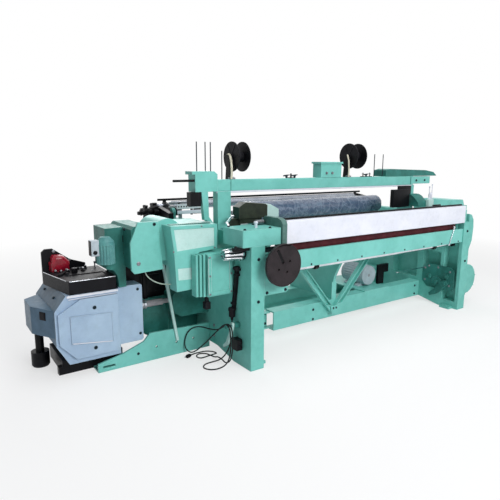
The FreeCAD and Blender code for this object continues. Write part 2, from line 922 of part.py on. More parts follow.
def hand_wheel():
    """Disc wheel with a hub, a slot for the folding crank and three finger holes."""
    wheel = body("hand_wheel", wheel_x, wheel_y, S.wheel_height)
    thick = S.wheel_thick
    shaft_end = S.wheel_offset + S.wheel_bracket_depth + 6
    back_hub = S.wheel_offset - 4
    hub_radius = 46
    revolve(wheel, "Y", [
        (-thick / 2, 0), (-thick / 2, S.wheel_radius), (thick / 2, S.wheel_radius),
        (thick / 2, hub_radius), (back_hub, hub_radius - 12), (back_hub, S.wheel_shaft),
        (shaft_end, S.wheel_shaft), (shaft_end, 0)])
    slot_half = S.crank_width / 2 + 2
    slot = rectangle(-slot_half, 16, slot_half, S.crank_length + 36)
    cut(wheel, "front", -thick, thick * 1.3, slot)
    hole_circle = 56
    hole_radius = 9
    holes = []
    for angle in (0, 180, 270):
        turn = math.radians(angle)
        holes.append((math.cos(turn) * hole_circle, math.sin(turn) * hole_circle, hole_radius))
    cut(wheel, "front", -thick, thick * 1.8, *holes)
    pivot = S.crank_length + 20
    cut(wheel, "end", -slot_half - 8, slot_half * 2 + 16, (-3, pivot, 4.05))
    wheel.Placement.Rotation = FreeCAD.Rotation(AXES["Y"], -S.crank_angle.number)


hand_wheel()


def crank_handle():
    """Folding crank that lies in the wheel's slot on a cross pin."""
    crank = body("crank_handle", wheel_x, wheel_y, S.wheel_height)
    half = S.crank_width / 2
    pivot = S.crank_length + 20
    extrude(crank, "end", -half, half * 2, [
        (-8, 24), (-10, 40), (-9, pivot - 8), (-7, pivot + 5), (1, pivot + 5),
        (2, pivot - 8), (2, 40), (0, 24)])
    extrude(crank, "end", -half - 9, half * 2 + 18, (-3, pivot, 4))
    crank.Placement.Rotation = FreeCAD.Rotation(AXES["Y"], -S.crank_angle.number)


crank_handle()


# ---------------------------------------------------------------- sley
rocking_shaft = bare("shaft_bar", 0, rocker_y, rocker_z)
shaft_half = inner - 20
revolve(rocking_shaft, "X", [(-shaft_half, 0), (-shaft_half, S.rocker_radius),
                             (shaft_half, S.rocker_radius), (shaft_half, 0)])


def sley_leg(name, left):
    """One leg clamped on the rocking shaft, tapering up to the sley beam."""
    leg = bare(name, left, rocker_y, rocker_z)
    reach = S.rocker_radius + 16
    beam_low = S.sley_base - rocker_z
    near = S.sley_setback - S.rocker_setback
    far = near + S.sley_depth
    extrude(leg, "end", 0, S.sley_leg_width, [
        (-reach, reach * 0.4), (-reach, -reach * 0.4), (-reach * 0.4, -reach), (reach * 0.4, -reach),
        (reach, -reach * 0.4), (reach, reach * 0.4), (far - 12, beam_low), (near + 12, beam_low)])
    cut(leg, "end", 0, S.sley_leg_width, (0, 0, S.rocker_radius))
    return leg


sley_legs = [sley_leg(f"sley_leg_{index}", across(offset))
             for index, offset in enumerate((400, 1010, 1720, 2410))]
group("rocking_shaft", [rocking_shaft] + sley_legs)
sley_left = across(S.sley_left)
sley_length = S.sley_right - S.sley_left
sley = body("sley_beam", sley_left, behind(S.sley_setback), S.sley_base)
extrude(sley, "end", 0, sley_length, [
    (0, 0), (0, S.sley_height), (S.sley_depth * 0.4, S.sley_height),
    (S.sley_depth, S.sley_height * 0.6), (S.sley_depth, 0)])
soften(sley, "X", 5, lambda middle: middle.z < 1)
reed_margin = 30


def reed():
    """Reed frame: caps above and below a field of dents shown as shallow grooves."""
    field = body("reed", sley_left + reed_margin, behind(S.sley_setback) + 6,
                 S.sley_base + S.sley_height)
    length = sley_length - reed_margin * 2
    extrude(field, "front", 0, S.reed_thick, rectangle(0, 0, length, S.reed_height))
    rib = 12
    for start in (0, S.reed_thick - 3):
        cut(field, "front", start, 3, rectangle(rib, rib, length - rib, S.reed_height - rib))


reed()


# ---------------------------------------------------------------- rollers at the back
cloth_length = S.cloth_right - S.cloth_left
cloth_roller = body("cloth_roller", across(S.cloth_left), behind(S.cloth_setback), S.cloth_height)
revolve(cloth_roller, "X", [
    (-60, 0), (-60, journal), (0, journal), (0, S.cloth_radius - 16),
    (16, S.cloth_radius), (cloth_length - 16, S.cloth_radius),
    (cloth_length, S.cloth_radius - 16), (cloth_length, journal),
    (cloth_length + 30, journal), (cloth_length + 30, 0)])

whip_overhang = 25
whip_y = behind(S.whip_setback) + whip_overhang
arm_y = rear - S.foot_length
arm_drop = 35
arm_z = S.whip_height - arm_drop
arm_width = 28
arm_inset = 40
whip_half = inner - 12
back_rest_roller = body("back_rest_roller", 0, whip_y, S.whip_height)
revolve(back_rest_roller, "X", [
    (-outer - 18, 0), (-outer - 18, S.journal_radius), (-whip_half, S.journal_radius),
    (-whip_half, S.whip_radius), (whip_half, S.whip_radius), (whip_half, S.journal_radius),
    (outer + 18, S.journal_radius), (outer + 18, 0)])


def back_rest_arm(name, left):
    """Spring arm that carries one end of the back-rest roller."""
    arm = bare(name, left)
    reach = S.journal_radius + 16
    extrude(arm, "end", 0, arm_width, [
        (arm_y, arm_z - reach), (whip_y, S.whip_height - reach),
        (whip_y, S.whip_height + reach), (arm_y, arm_z + reach)])
    for centre in ((arm_y, arm_z), (whip_y, S.whip_height)):
        extrude(arm, "end", 0, arm_width, (*centre, reach))
    for centre in ((arm_y, arm_z), (whip_y, S.whip_height)):
        cut(arm, "end", 0, arm_width, (*centre, S.journal_radius + S.running_gap))
    return arm


group("back_rest_arms", [back_rest_arm("left_rest_arm", -outer + arm_inset),
                         back_rest_arm("right_rest_arm", outer - arm_inset - arm_width)])


def rest_pedestal(name, left, pin_start):
    """Pedestal on the frame top with the pivot pin of one rest arm."""
    pedestal = bare(name, left)
    half = S.journal_radius + 14
    extrude(pedestal, "end", 0, arm_inset - wall, [
        (arm_y - half, S.frame_top), (arm_y + half, S.frame_top),
        (arm_y + half, arm_z), (arm_y + half * 0.5, arm_z + half),
        (arm_y - half * 0.5, arm_z + half), (arm_y - half, arm_z)])
    extrude(pedestal, "end", pin_start, arm_width + wall, (arm_y, arm_z, S.journal_radius))
    return pedestal


group("rest_pedestals", [
    rest_pedestal("left_pedestal", -outer, arm_inset - wall),
    rest_pedestal("right_pedestal", outer - arm_inset + wall, -wall - arm_width)])


def rest_end_head():
    """Toothed adjusting head and its carrier outside the left frame, behind."""
    near = S.whip_setback - 300
    carrier = bare("carrier")
    centre_y = rear - 55
    low = S.frame_top
    high = S.whip_height
    extrude(carrier, "end", across(-60), 60 - wall, [
        (behind(near), low + 10), (behind(near) + 60, low), (centre_y, low + 20),
        (rear - 20, low + 60), (rear - 20, high), (centre_y - 20, high), (behind(near), low + 60)])
    head = bare("toothed_head")
    extrude(head, "end", across(-190), 130, (centre_y, high - 40, 34))
    notch = rectangle(centre_y - 6, high - 16, centre_y + 6, high)
    for offset in (-175, -130, -90):
        cut(head, "end", across(offset), 18, notch)
    nose = rod("nose", "X", across(-250), centre_y, high - 50, 16, 60)
    tie = box_at("carrier_tie", -wall, 0, near + 40, near + 130, low - 60, low + 60)
    return [carrier, head, nose, tie]


group("let_off_head", rest_end_head())
bar_top = S.frame_top + 162
bar_near = 1180
bar_far = bar_near + 14
side_bars = [
    box_at("perforated_bar", -60, 180, bar_near, bar_far, bar_top - 22, bar_top),
    box_at("lower_bar", -60, 180, bar_near, bar_far, bar_top - 50, bar_top - 34),
    box_at("bar_foot", 40, 70, bar_far, bar_far + 12, S.frame_top, bar_top)]


# ---------------------------------------------------------------- top beam
beam_front = behind(S.top_beam_setback)
beam_low = S.top_beam_base
beam_high = beam_low + S.top_beam_height
main_length = bare("main_length", left_edge, beam_front, beam_low)
extrude(main_length, "end", 0, S.top_beam_joint, rectangle(0, 0, S.top_beam_depth, S.top_beam_height))
soften(main_length, "X", 6)
extension = bare("extension", across(S.top_beam_joint), beam_front, beam_low)
extension_length = S.top_beam_end - S.top_beam_joint
extrude(extension, "end", 0, extension_length,
        rectangle(0, wall, S.top_beam_depth - wall / 2, S.top_beam_height - wall / 2))
soften(extension, "X", 5)
bolt_head = rod("joint_bolt", "Y", across(S.top_beam_joint) + 46, beam_front - 6,
                beam_low + S.top_beam_height / 2, 11, 6)
group("top_beam", [main_length, extension, bolt_head])


def beam_posts():
    """Strut at the left end, plate at the right end, pillar on the left frame."""
    knee = S.frame_top + 78
    root = S.frame_top - 120
    strut = prism("left_strut", "front", beam_front, S.post_plate, [
        (left_edge - 140, beam_low), (left_edge - 84, beam_low),
        (left_edge - 77, knee + 22), (left_edge, S.frame_top), (left_edge, root),
        (left_edge - 95, root), (left_edge - 95, knee), (left_edge - 117, knee)])
    joint = across(S.top_beam_joint)
    back = beam_front + 170
    plate = prism("right_plate", "end", joint - S.post_plate / 2, S.post_plate, [
        (middle_y + S.middle_depth, S.middle_base), (middle_y + S.middle_depth, S.frame_top),
        (beam_front, S.frame_top + S.post_plate), (beam_front, beam_low), (back, beam_low),
        (back, S.frame_top - S.post_plate / 2), (back - S.post_plate, S.middle_base)])
    pillar = block("left_pillar", left_edge, beam_front, S.frame_top,
                   S.frame_thick, S.top_beam_depth, beam_low - S.frame_top)
    return [strut, plate, pillar]


group("beam_posts", beam_posts())


def creel_boxes():
    """Sheet boxes on the beam: stepped one at the left end, small one near the middle."""
    left_box = prism("left_creel_box", "front", beam_front, S.top_beam_depth + 40, [
        (left_edge - 215, beam_high + 38), (left_edge - 215, beam_high + 62),
        (left_edge - 30, beam_high + 62), (left_edge, beam_high + 40),
        (left_edge, beam_low), (left_edge - 190, beam_low), (left_edge - 190, beam_high + 38)])
    middle_box = bare("middle_box", across(1065), beam_front, beam_high)
    extrude(middle_box, "plan", 0, 122, rectangle(0, 0, 254, 110))
    extrude(middle_box, "plan", 122, 16, rectangle(-12, -8, 266, 118))
    soften(middle_box, "Z", 6)
    return [left_box, middle_box]


group("creel_boxes", creel_boxes())
creel_board = body("creel_board", across(1940), beam_front, beam_high)
extrude(creel_board, "front", 0, 150, [
    (0, 0), (0, 62), (60, 74), (640, 60), (780, 40), (830, 6), (830, 0)])
pin_y = beam_front + S.top_beam_depth / 2
creel_pins = []
box_top = beam_high + 62
for index, (offset, base) in enumerate((
        (-158, box_top), (-85, box_top), (-40, box_top),
        (60, beam_high), (1800, beam_high), (1925, beam_high))):
    creel_pins.append(rod(f"bobbin_pin_{index}", "Z", across(offset), pin_y, base,
                          S.rod_radius, S.rod_length))
for index, offset in enumerate((700, 790, 1690)):
    hook = bare(f"guide_hook_{index}", across(offset), pin_y, beam_high)
    extrude(hook, "front", -3, 6, [
        (-30, 26), (-36, 20), (-30, 14), (-14, 18), (-6, 0), (6, 0), (12, 20), (30, 24),
        (30, 30), (4, 30), (-8, 28)])
    creel_pins.append(hook)
group("creel_pins", creel_pins)
side_rods = [
    rod("black_side_rod", "X", across(-360), beam_front + 20, beam_high - 6, 9, 170),
    box_at("black_side_block", -232, -144, S.top_beam_setback, S.top_beam_setback + 60,
           beam_low - 105, beam_low)]


reel_pin = S.rod_radius * 2


def reel(name, offset, height, gap):
    """Selvedge bobbin: two flanges on a barrel with a hollow hub."""
    spool = body(name, across(offset), pin_y, height)
    half = gap / 2
    rim = S.reel_radius
    barrel = rim * 0.35
    bore = reel_pin + S.running_gap
    revolve(spool, "X", [
        (-half, bore), (-half, rim), (-half + 8, rim), (-half + 12, barrel),
        (half - 12, barrel), (half - 8, rim), (half, rim), (half, bore)])
    return spool


def reel_stand(name, offset, height):
    """Bent stand with the pin that one reel turns on."""
    stand = bare(name, across(offset), pin_y, 0)
    start = -S.reel_width / 2 - 34
    extrude(stand, "end", start, 16, [
        (-30, beam_high), (-34, beam_high + 46), (-16, height + 14), (14, height + 14),
        (30, beam_high + 46), (34, beam_high)])
    extrude(stand, "end", start + 16, S.reel_width + 34, (0, height, reel_pin))
    return stand


left_reel_offset = 199
right_reel_offset = 1500
right_reel_extra = 20
right_reel_height = S.reel_axis_height + right_reel_extra
reel("left_reel", left_reel_offset, S.reel_axis_height, S.reel_width)
reel("right_reel", right_reel_offset, right_reel_height, S.reel_width + right_reel_extra)
group("creel_stands", side_rods + [
    reel_stand("left_stand", left_reel_offset, S.reel_axis_height),
    reel_stand("right_stand", right_reel_offset - 8, right_reel_height)])

# ---------------------------------------------------------------- weft side pieces
cover_setback = 350
cover_depth = 90
cover_right = 400
gripper_cover = body("gripper_cover", left_edge, behind(cover_setback), S.frame_top)
extrude(gripper_cover, "front", 0, cover_depth, [
    (130, 80), (130, 170), (190, 206), (cover_right - 20, 188), (cover_right, 176), (cover_right, 80)])
extrude(gripper_cover, "front", 20, 60, rectangle(150, 40, cover_right - 40, 82))
extrude(gripper_cover, "front", 40, 40, rectangle(72, 0, 170, 82))
cover_end = bare("cover_end", across(cover_right), behind(cover_setback), S.frame_top)
extrude(cover_end, "front", 0, cover_depth, [(0, 76), (0, 182), (30, 182), (115, 140), (115, 76)])
group("gripper_guides", [cover_end] + side_bars)
gripper_lever = body("gripper_lever", across(24), behind(cover_setback) + 35, S.frame_top)
extrude(gripper_lever, "end", -8, 16, [
    (-60, 0), (-60, 30), (-30, 62), (-12, 62), (-20, 30), (60, 4), (60, 0)])
extrude(gripper_lever, "front", -24, 14, [
    (0, 52), (0, 66), (40, 106), (68, 112), (68, 98), (44, 90), (14, 52)])

# ---------------------------------------------------------------- left drive side
housing_front = behind(S.housing_setback)
housing_left = -S.housing_gap - S.housing_width
housing_top = S.housing_base + S.housing_height
chin_level = S.housing_base + S.chin_height
chin_right = -S.housing_gap - 152


def left_rapier_housing():
    """Faceted drive housing: deep upper body, shallow chin, drum behind, frame flange."""
    housing = body("left_rapier_housing", left_edge, 0, 0)
    left = housing_left
    right = -S.housing_gap
    extrude(housing, "front", housing_front, S.housing_depth, [
        (left, housing_top), (right, housing_top - 6), (right, chin_level + 117),
        (chin_right, chin_level + 101), (chin_right, chin_level), (left + 30, chin_level),
        (left + 24, chin_level + 119)])
    extrude(housing, "front", housing_front, S.chin_depth, [
        (left + 30, chin_level), (chin_right, chin_level), (chin_right + 11, S.housing_base + 40),
        (chin_right - 6, S.housing_base + 6), (left + 38, S.housing_base)])
    drum_start = housing_front + S.chin_depth + 30
    drum_length = S.housing_depth - S.chin_depth - 30
    drum_z = housing_top - 72
    extrude(housing, "front", drum_start, drum_length, (left + 40, drum_z, S.housing_drum))
    extrude(housing, "front", drum_start, drum_length,
            rectangle(left - 90, drum_z - 190, left + 30, drum_z - 10))
    extrude(housing, "front", housing_front + S.housing_depth / 2, S.housing_depth / 2,
            rectangle(right, drum_z - 100, 0, drum_z - 15))
    margin = 26
    panel_depth = 3
    cut(housing, "front", housing_front, panel_depth, [
        (left + margin, housing_top - margin), (right - margin, housing_top - margin - 6),
        (right - margin, chin_level + 140), (left + margin + 22, chin_level + 126)])
    cut(housing, "front", housing_front, panel_depth, [
        (left + 50, chin_level), (chin_right - 12, chin_level - 6),
        (chin_right - 6, S.housing_base + 76), (left + 54, S.housing_base + 84)])
    louvre_count = 7
    pitch = (S.housing_width - margin * 2) / louvre_count
    louvres = []
    for step in range(louvre_count):
        start = left + margin + pitch * step
        louvres.append(rectangle(start, housing_front + 40, start + pitch * 0.6, housing_front + 48))
    cut(housing, "plan", housing_top - 12, 20, *louvres)


left_rapier_housing()
guard = body("belt_guard", left_edge, behind(S.guard_setback), 0)
guard_left = -S.guard_reach
guard_top = S.guard_base + S.guard_height
extrude(guard, "front", 0, S.guard_thick, [
    (guard_left + 60, guard_top), (guard_left + 210, guard_top - 5),
    (guard_left + 217, guard_top - 162), (housing_left - 8, S.guard_base + 10),
    (guard_left + 24, S.guard_base), (guard_left + 3, S.guard_base + 26),
    (guard_left, guard_top - 142)])

dobby_front = behind(S.dobby_setback) + 20
dobby_back = dobby_front + S.dobby_depth
dobby_high = S.dobby_base + S.dobby_height
side_box_top = dobby_high + 12
shaft_bore = (behind(S.dobby_shaft_setback), S.dobby_shaft_height,
              S.dobby_shaft_radius + S.running_gap)
bore_depth = 60


def drive_box():
    """Dark casing behind the guard with its neck down to the dobby, and the shaft gear case."""
    casing = bare("drive_casing", left_edge, 0, 0)
    left = -S.drive_box_left
    right = left + 140
    low = S.drive_box_base
    high = S.drive_box_top
    extrude(casing, "front", behind(S.guard_setback) + S.guard_thick, S.drive_box_depth, [
        (left, low), (left, high - 20), (left + 20, high), (right, high), (right, low)])
    extrude(casing, "front", behind(S.dobby_setback), S.drive_box_depth * 0.6, [
        (left - 130, high - 21), (left + 10, high - 18), (left + 10, side_box_top),
        (left - 40, side_box_top), (left - 50, low - 68), (left - 75, low - 25), (left - 130, low - 10)])
    gear_case = bare("shaft_gear_case", left_edge, 0, 0)
    width = S.gear_case_width
    middle = S.dobby_shaft_height
    extrude(gear_case, "front", behind(S.dobby_shaft_setback) - 90, 190, [
        (-width, middle - 75), (-width, middle + 55), (40 - width, middle + 95), (0, middle + 95),
        (0, middle - 125), (70 - width, middle - 125)])
    cut(gear_case, "end", -width, bore_depth, shaft_bore)
    return [casing, gear_case]


group("drive_box", drive_box())


def small_motor():
    """Upright motor with cooling ribs, a domed cap and a terminal box at its left."""
    motor = body("small_motor", across(-S.drive_motor_offset), behind(S.drive_motor_setback),
                 S.drive_motor_base)
    radius = S.drive_motor_radius
    rib_top = 132
    cap_top = 186
    extrude(motor, "plan", 0, rib_top, ribbed(radius, S.motor_rib_depth, S.motor_ribs * 0.75))
    revolve(motor, "Z", [(rib_top, 0), (rib_top, radius), (rib_top + 24, radius - 4),
                         (cap_top, radius - 30), (cap_top, 0)])
    extrude(motor, "plan", 62, 106, rectangle(-42 - radius, -30, 10 - radius, 30))
    flange = S.dobby_setback - S.drive_motor_setback
    extrude(motor, "plan", 32, 60, rectangle(10, 40, 60, flange))


small_motor()


def take_up_gearbox():
    """Gearbox body on the post with a raised cover plate and three side ribs."""
    gearbox = body("take_up_gearbox", left_edge, 0, 0)
    plate_thick = 15
    front_face = behind(S.gearbox_setback)
    near = front_face + plate_thick
    low = S.gearbox_base
    high = low + S.gearbox_height
    left = -S.gearbox_width
    extrude(gearbox, "front", near, S.gearbox_depth - plate_thick, rectangle(left, low, 0, high))
    plate = rectangle(left + 2, low + 12, -28, high - 10)
    extrude(gearbox, "front", front_face, plate_thick, plate)
    rib_pitch = 30
    rib_left = left - rib_pitch * 3 + 4
    for step in range(3):
        start = rib_left + rib_pitch * step
        rib = rectangle(start, low + 10 - step * 4, start + rib_pitch * 0.6, high)
        extrude(gearbox, "front", near + 15, 66, rib)
    extrude(gearbox, "front", near + 40, 41, rectangle(rib_left, low + 30, left, high - 30))
    border = 22
    cut(gearbox, "front", front_face, 6,
        rectangle(left + border, low + 36, -28 - border, high - 34))


take_up_gearbox()

# ---------------------------------------------------------------- dobby
side_box_left = -S.dobby_right


def dobby_body():
    """Dobby housing with chamfered left corners and a bulge, and its side box."""
    shell = bare("dobby_shell", left_edge, 0, 0)
    right = side_box_left
    left = right - S.dobby_width
    inset = S.dobby_chamfer
    extrude(shell, "front", dobby_front, S.dobby_depth, [
        (right, S.dobby_base), (left + inset, S.dobby_base), (left, S.dobby_base + inset * 1.8),
        (left, dobby_high - inset * 1.3), (left + inset, dobby_high), (right, dobby_high)])
    bulge_reach = 110
    bulge_height = 200
    bulge = [(left, dobby_front + 30), (left - bulge_reach, dobby_front + 230),
             (left - bulge_reach, dobby_back - 150), (left, dobby_back - 60)]
    extrude(shell, "plan", dobby_high - S.dobby_height * 0.6, bulge_height, bulge)
    side_box = bare("side_box", left_edge, 0, 0)
    width = S.side_box_width
    bevel = 12
    extrude(side_box, "front", dobby_front, S.dobby_depth * 0.8, [
        (right, S.dobby_base + 70), (right, side_box_top), (right + width - bevel, side_box_top),
        (right + width, side_box_top - bevel), (right + width, S.dobby_base + 70 + bevel),
        (right + width - bevel, S.dobby_base + 70)])
    cut(side_box, "end", right + width - bore_depth, bore_depth, shaft_bore)
    return [shell, side_box]


group("dobby_body", dobby_body())
dobby_cover = body("dobby_cover", left_edge + side_box_left, dobby_front - S.cover_proud, 0)
cover_left = -S.dobby_width + 18
cover_low = S.dobby_base + 36
cover_high = dobby_high - 33
extrude(dobby_cover, "front", 0, S.cover_proud, [
    (-12, cover_high), (cover_left + 154, cover_high), (cover_left, cover_high - 90),
    (cover_left, cover_low + 120), (cover_left + 110, cover_low), (-12, cover_low)])
extrude(dobby_cover, "front", -4, 4, [
    (-62, cover_high - 130), (cover_left + 80, cover_high - 112),
    (cover_left + 80, cover_low + 120), (-62, cover_low + 82)])

shell_left = side_box_left - S.dobby_width
control_left = shell_left + 28
control_right = side_box_left - 12
knob_x = side_box_left - 230
knob_y = dobby_front + 270
spindle_radius = 5
plate_front = dobby_front + 430


def dobby_top():
    """Black control box on the dobby with its back plate, tray and knob spindle."""
    top = body("dobby_top", left_edge, 0, dobby_high)
    near = dobby_front + 4
    height = S.control_height
    extrude(top, "plan", 0, height, [
        (control_right, near), (control_left + 80, near), (control_left, plate_front),
        (control_right, plate_front)])
    extrude(top, "front", plate_front, 20, [
        (control_left, 0), (control_left, 240), (control_left + 25, 262), (control_left + 80, 262),
        (control_left + 205, 168), (control_left + 315, 130), (control_left + 315, 0)])
    tray_depth = 6
    cut(top, "plan", height - tray_depth, tray_depth, [
        (control_right - 33, near + 60), (control_left + 125, near + 60),
        (control_left + 95, near + 200), (control_right - 33, near + 200)])
    extrude(top, "plan", height, 26, (knob_x, knob_y, spindle_radius))


dobby_top()
red_cover = body("dobby_red_cover", left_edge, 0, dobby_high + S.control_height)
extrude(red_cover, "plan", 0, 70, [
    (control_left + 180, plate_front - 70), (control_left + 55, plate_front - 70),
    (control_left + 41, plate_front - 2), (control_left + 180, plate_front - 2)])
soften(red_cover, "Z", 12)
knob = body("pattern_knob", left_edge + knob_x, knob_y, dobby_high + S.control_height)
knob_gap = 0.3
knob_bore = spindle_radius + S.running_gap
extrude(knob, "plan", knob_gap, 34, ribbed(size(22), 2, 10), (0, 0, knob_bore))


def dobby_foot():
    """Black base block under the dobby with a step, and the round rubber foot on a stem."""
    left = shell_left + 51
    right = side_box_left + 45
    near = dobby_front + 100
    far = near + 400
    base = bare("base_block", left_edge, 0, 0)
    extrude(base, "plan", 0, S.dobby_base, rectangle(left, near, right, far))
    extrude(base, "plan", 0, 60, rectangle(left - 26, near, left, near + 50))
    foot = bare("round_foot", across(shell_left - 42), behind(S.foot_setback), 0)
    foot_radius = 64
    stem_radius = 30
    foot_height = 116
    bulge_bottom = dobby_high - S.dobby_height * 0.6
    revolve(foot, "Z", [
        (0, 0), (0, foot_radius - 8), (12, foot_radius), (foot_height, foot_radius),
        (foot_height, stem_radius), (bulge_bottom, stem_radius), (bulge_bottom, 0)])
    return [base, foot]


group("dobby_base", dobby_foot())

shaft_start = side_box_left + S.side_box_width - bore_depth / 2
shaft_end = bore_depth / 2 - S.gear_case_width
shaft_length = shaft_end - shaft_start
dobby_shaft = body("dobby_shaft", left_edge + shaft_start, behind(S.dobby_shaft_setback),
                   S.dobby_shaft_height)
radius = S.dobby_shaft_radius
yoke = radius * 1.6
revolve(dobby_shaft, "X", [
    (0, 0), (0, radius), (40, radius), (40, yoke), (74, yoke), (74, radius * 1.4),
    (shaft_length - 80, radius * 1.4), (shaft_length - 80, radius), (shaft_length, radius),
    (shaft_length, 0)])


def base_rail():
    """Sloping plate along the dobby side with its floor flange and a strut."""
    thick = S.base_rail_thick
    near = behind(S.base_rail_setback)
    reach = S.base_rail_reach
    top = S.base_rail_top
    plate = bare("base_plate", left_edge, near, 0)
    extrude(plate, "front", 0, thick, [
        (-reach, 0), (-reach, top * 0.32), (180 - reach, top / 2), (-572, top * 0.8),
        (-520, top + 16), (0, top), (0, 0)])
    slot = rectangle(35 - reach, 28, 125 - reach, 44)
    cut(plate, "front", 0, thick, slot, (-470, top / 2, 9), (-300, top / 2, 9), (-150, top / 2, 9))
    flange = prism("base_flange", "plan", 0, 14, rectangle(
        left_edge - reach, near + thick, left_edge, dobby_front + 100))
    strut = prism("housing_strut", "front", near - thick, thick, [
        (left_edge - 415, chin_level), (left_edge - 395, chin_level),
        (left_edge - 287, top - 85), (left_edge - 307, top - 85)])
    return [plate, flange, strut]


group("base_rail", base_rail())

# ---------------------------------------------------------------- motors and right side
motor_base = beam_top + wall


def main_motor():
    """Foot-mounted motor on its plate: ribbed barrel, two feet, terminal box, shaft end."""
    motor = body("main_motor", across(S.motor_offset), behind(S.base_rail_setback), motor_base)
    radius = S.motor_radius
    rise = radius + 12
    section = ribbed(radius, S.motor_rib_depth, S.motor_ribs)
    barrel = [(across, rise + up) for across, up in section]
    extrude(motor, "front", 30, 240, barrel)
    for start in (0, 270):
        extrude(motor, "front", start, 30, (0, rise, radius - S.motor_rib_depth / 2))
    extrude(motor, "front", 300, 60, (0, rise, radius * 0.18))
    foot = radius + 3
    for start in (50, 200):
        extrude(motor, "front", start, 50, [
            (-foot, 0), (-foot, 14), (-70, 26), (-60, rise), (60, rise), (70, 26), (foot, 14), (foot, 0)])
    extrude(motor, "front", 90, 110, rectangle(60, rise - 40, radius + 46, rise + 60))


main_motor()
bracket_left = across(S.motor_offset + 150)
bracket_right = bracket_left + 160
bracket_top = motor_base + 210
bracket_step = motor_base + 120
bracket_low = -S.headblock_overhang
under_head = S.post_top
knob_bracket = [
    (bracket_low * 1.86, under_head - 25), (bracket_low * 1.86, under_head + 5),
    (bracket_low * 1.68, under_head - 7), (bracket_low * 1.48, under_head + 13),
    (bracket_low * 1.31, under_head - 7), (bracket_low * 1.08, under_head - 3),
    (bracket_low, under_head), (0, under_head), (0, under_head - 25)]
black_brackets = rail_bearings + [
    prism("motor_bracket", "front", behind(S.base_rail_setback), 30, [
        (bracket_left, motor_base), (bracket_left, bracket_top), (bracket_right, bracket_top),
        (bracket_right, bracket_step), (bracket_right - 70, bracket_step),
        (bracket_right - 70, motor_base)]),
    prism("knob_bracket", "front", behind(20), 30,
          [(left_edge + x, z) for x, z in knob_bracket])]
group("black_brackets", black_brackets)


def right_inner_cover():
    """Bolted cover on the right frame's inner face with its bell crank and trip rod."""
    plate_thick = 6
    plate = bare("inner_plate", inner - plate_thick, 0, 0)
    low = 180
    high = 435
    extrude(plate, "end", 0, plate_thick, [
        (behind(60), low + 20), (behind(60), high - 35), (behind(110), high), (behind(380), high),
        (behind(440), high - 55), (behind(440), low + 60), (behind(380), low), (behind(90), low)])
    crank = bare("bell_crank", inner - plate_thick - 28, 0, 0)
    extrude(crank, "end", 0, 28, [
        (behind(120), 250), (behind(150), 290), (behind(200), 280), (behind(260), low),
        (behind(330), 120), (behind(320), 90), (behind(230), 130), (behind(150), 220)])
    extrude(crank, "end", -22, 22, (behind(160), 255, 22))
    rod_left = across(S.clip_right - 140)
    link = rod("trip_rod", "X", rod_left, behind(420), high - 51, 6, inner - plate_thick - rod_left)
    return [plate, crank, link]


group("right_inner_cover", right_inner_cover())

right_housing = body("right_rapier_housing", outer, behind(S.housing_setback) + 40, 0)
right_low = S.housing_base + 40
right_high = right_low + S.housing_height
extrude(right_housing, "front", 0, S.housing_depth - 60, [
    (0, right_low), (0, right_high - 66), (60, right_high - 56), (140, right_high + 6),
    (390, right_high), (440, right_high - 102), (470, right_high - 232), (430, right_low)])


def outer_motor():
    """Drum and ribbed motor on the outside of the right post, below its casting."""
    drum = bare("outer_drum", outer, behind(190), 270)
    radius = S.outer_drum_radius
    start = 124
    revolve(drum, "X", [
        (0, 0), (0, radius), (start - 20, radius), (start, radius - 20), (start, 0)])
    shield = 24
    barrel = S.outer_motor_length - shield
    section = ribbed(S.outer_motor_radius, S.motor_rib_depth, S.motor_ribs)
    extrude(drum, "end", start, barrel, section)
    shield_radius = S.outer_motor_radius - S.motor_rib_depth / 2
    extrude(drum, "end", start + barrel, shield, (0, 0, shield_radius))
    casting = bare("post_casting", outer, front)
    extrude(casting, "front", 20, 200, [
        (0, 600), (0, 1000), (40, 990), (78, 940), (90, 860), (80, 720), (30, 620)])
    return [drum, casting]


group("outer_motor", outer_motor())

# ---------------------------------------------------------------- pedal and cable side
pedal_y = behind(S.pedal_setback)
pedal_z = S.pedal_height
pedal_thick = 18
pedal_reach = 66
pin_reach = 116


def pedal_box():
    """Switch case on the frame, and the pivot boss whose long pin the cable hangs over."""
    case = bare("pedal_case", left_edge - 45, 0, 0)
    extrude(case, "end", 0, 45, rectangle(pedal_y - 50, pedal_z - 190, pedal_y + 30, pedal_z - 102))
    soften(case, "X", 10)
    boss = bare("pedal_boss", left_edge, pedal_y, pedal_z)
    pin_radius = S.pedal_pin
    boss_inner = pedal_thick - pedal_reach + 2
    revolve(boss, "X", [
        (-pin_reach, 0), (-pin_reach, 14), (-pin_reach + 5, 14), (-pin_reach + 5, pin_radius),
        (boss_inner, pin_radius), (boss_inner, 24), (0, 24), (0, 0)])
    return [case, boss]


group("pedal_box", pedal_box())
foot_pedal = body("foot_pedal", left_edge - pedal_reach, pedal_y, pedal_z)
extrude(foot_pedal, "end", 0, pedal_thick, [
    (-16, 12), (-10, 24), (12, 22), (20, 4), (34, -60), (78, -150), (118, -186), (112, -204),
    (58, -168), (12, -70), (-14, -8)])
cut(foot_pedal, "end", 0, pedal_thick, (0, 0, S.pedal_pin + S.running_gap))
conduit_top = 764
connector_top = 430
conduit = prism("conduit", "end", left_edge - 26, 26, [
    (behind(144), conduit_top), (behind(170), conduit_top),
    (behind(S.connector_setback) + 13, connector_top), (behind(S.connector_setback) - 13, connector_top)])
connector = bare("connector", left_edge - 28, behind(S.connector_setback), 0)
revolve(connector, "Z", [
    (S.connector_base, 0), (S.connector_base, 9), (S.connector_base + 28, 14),
    (S.connector_base + 28, 24), (connector_top, 24), (connector_top, 0)])
group("cable_conduit", [conduit, connector])


# ---------------------------------------------------------------- free cable and oil line
ARC_SHARE = 0.45


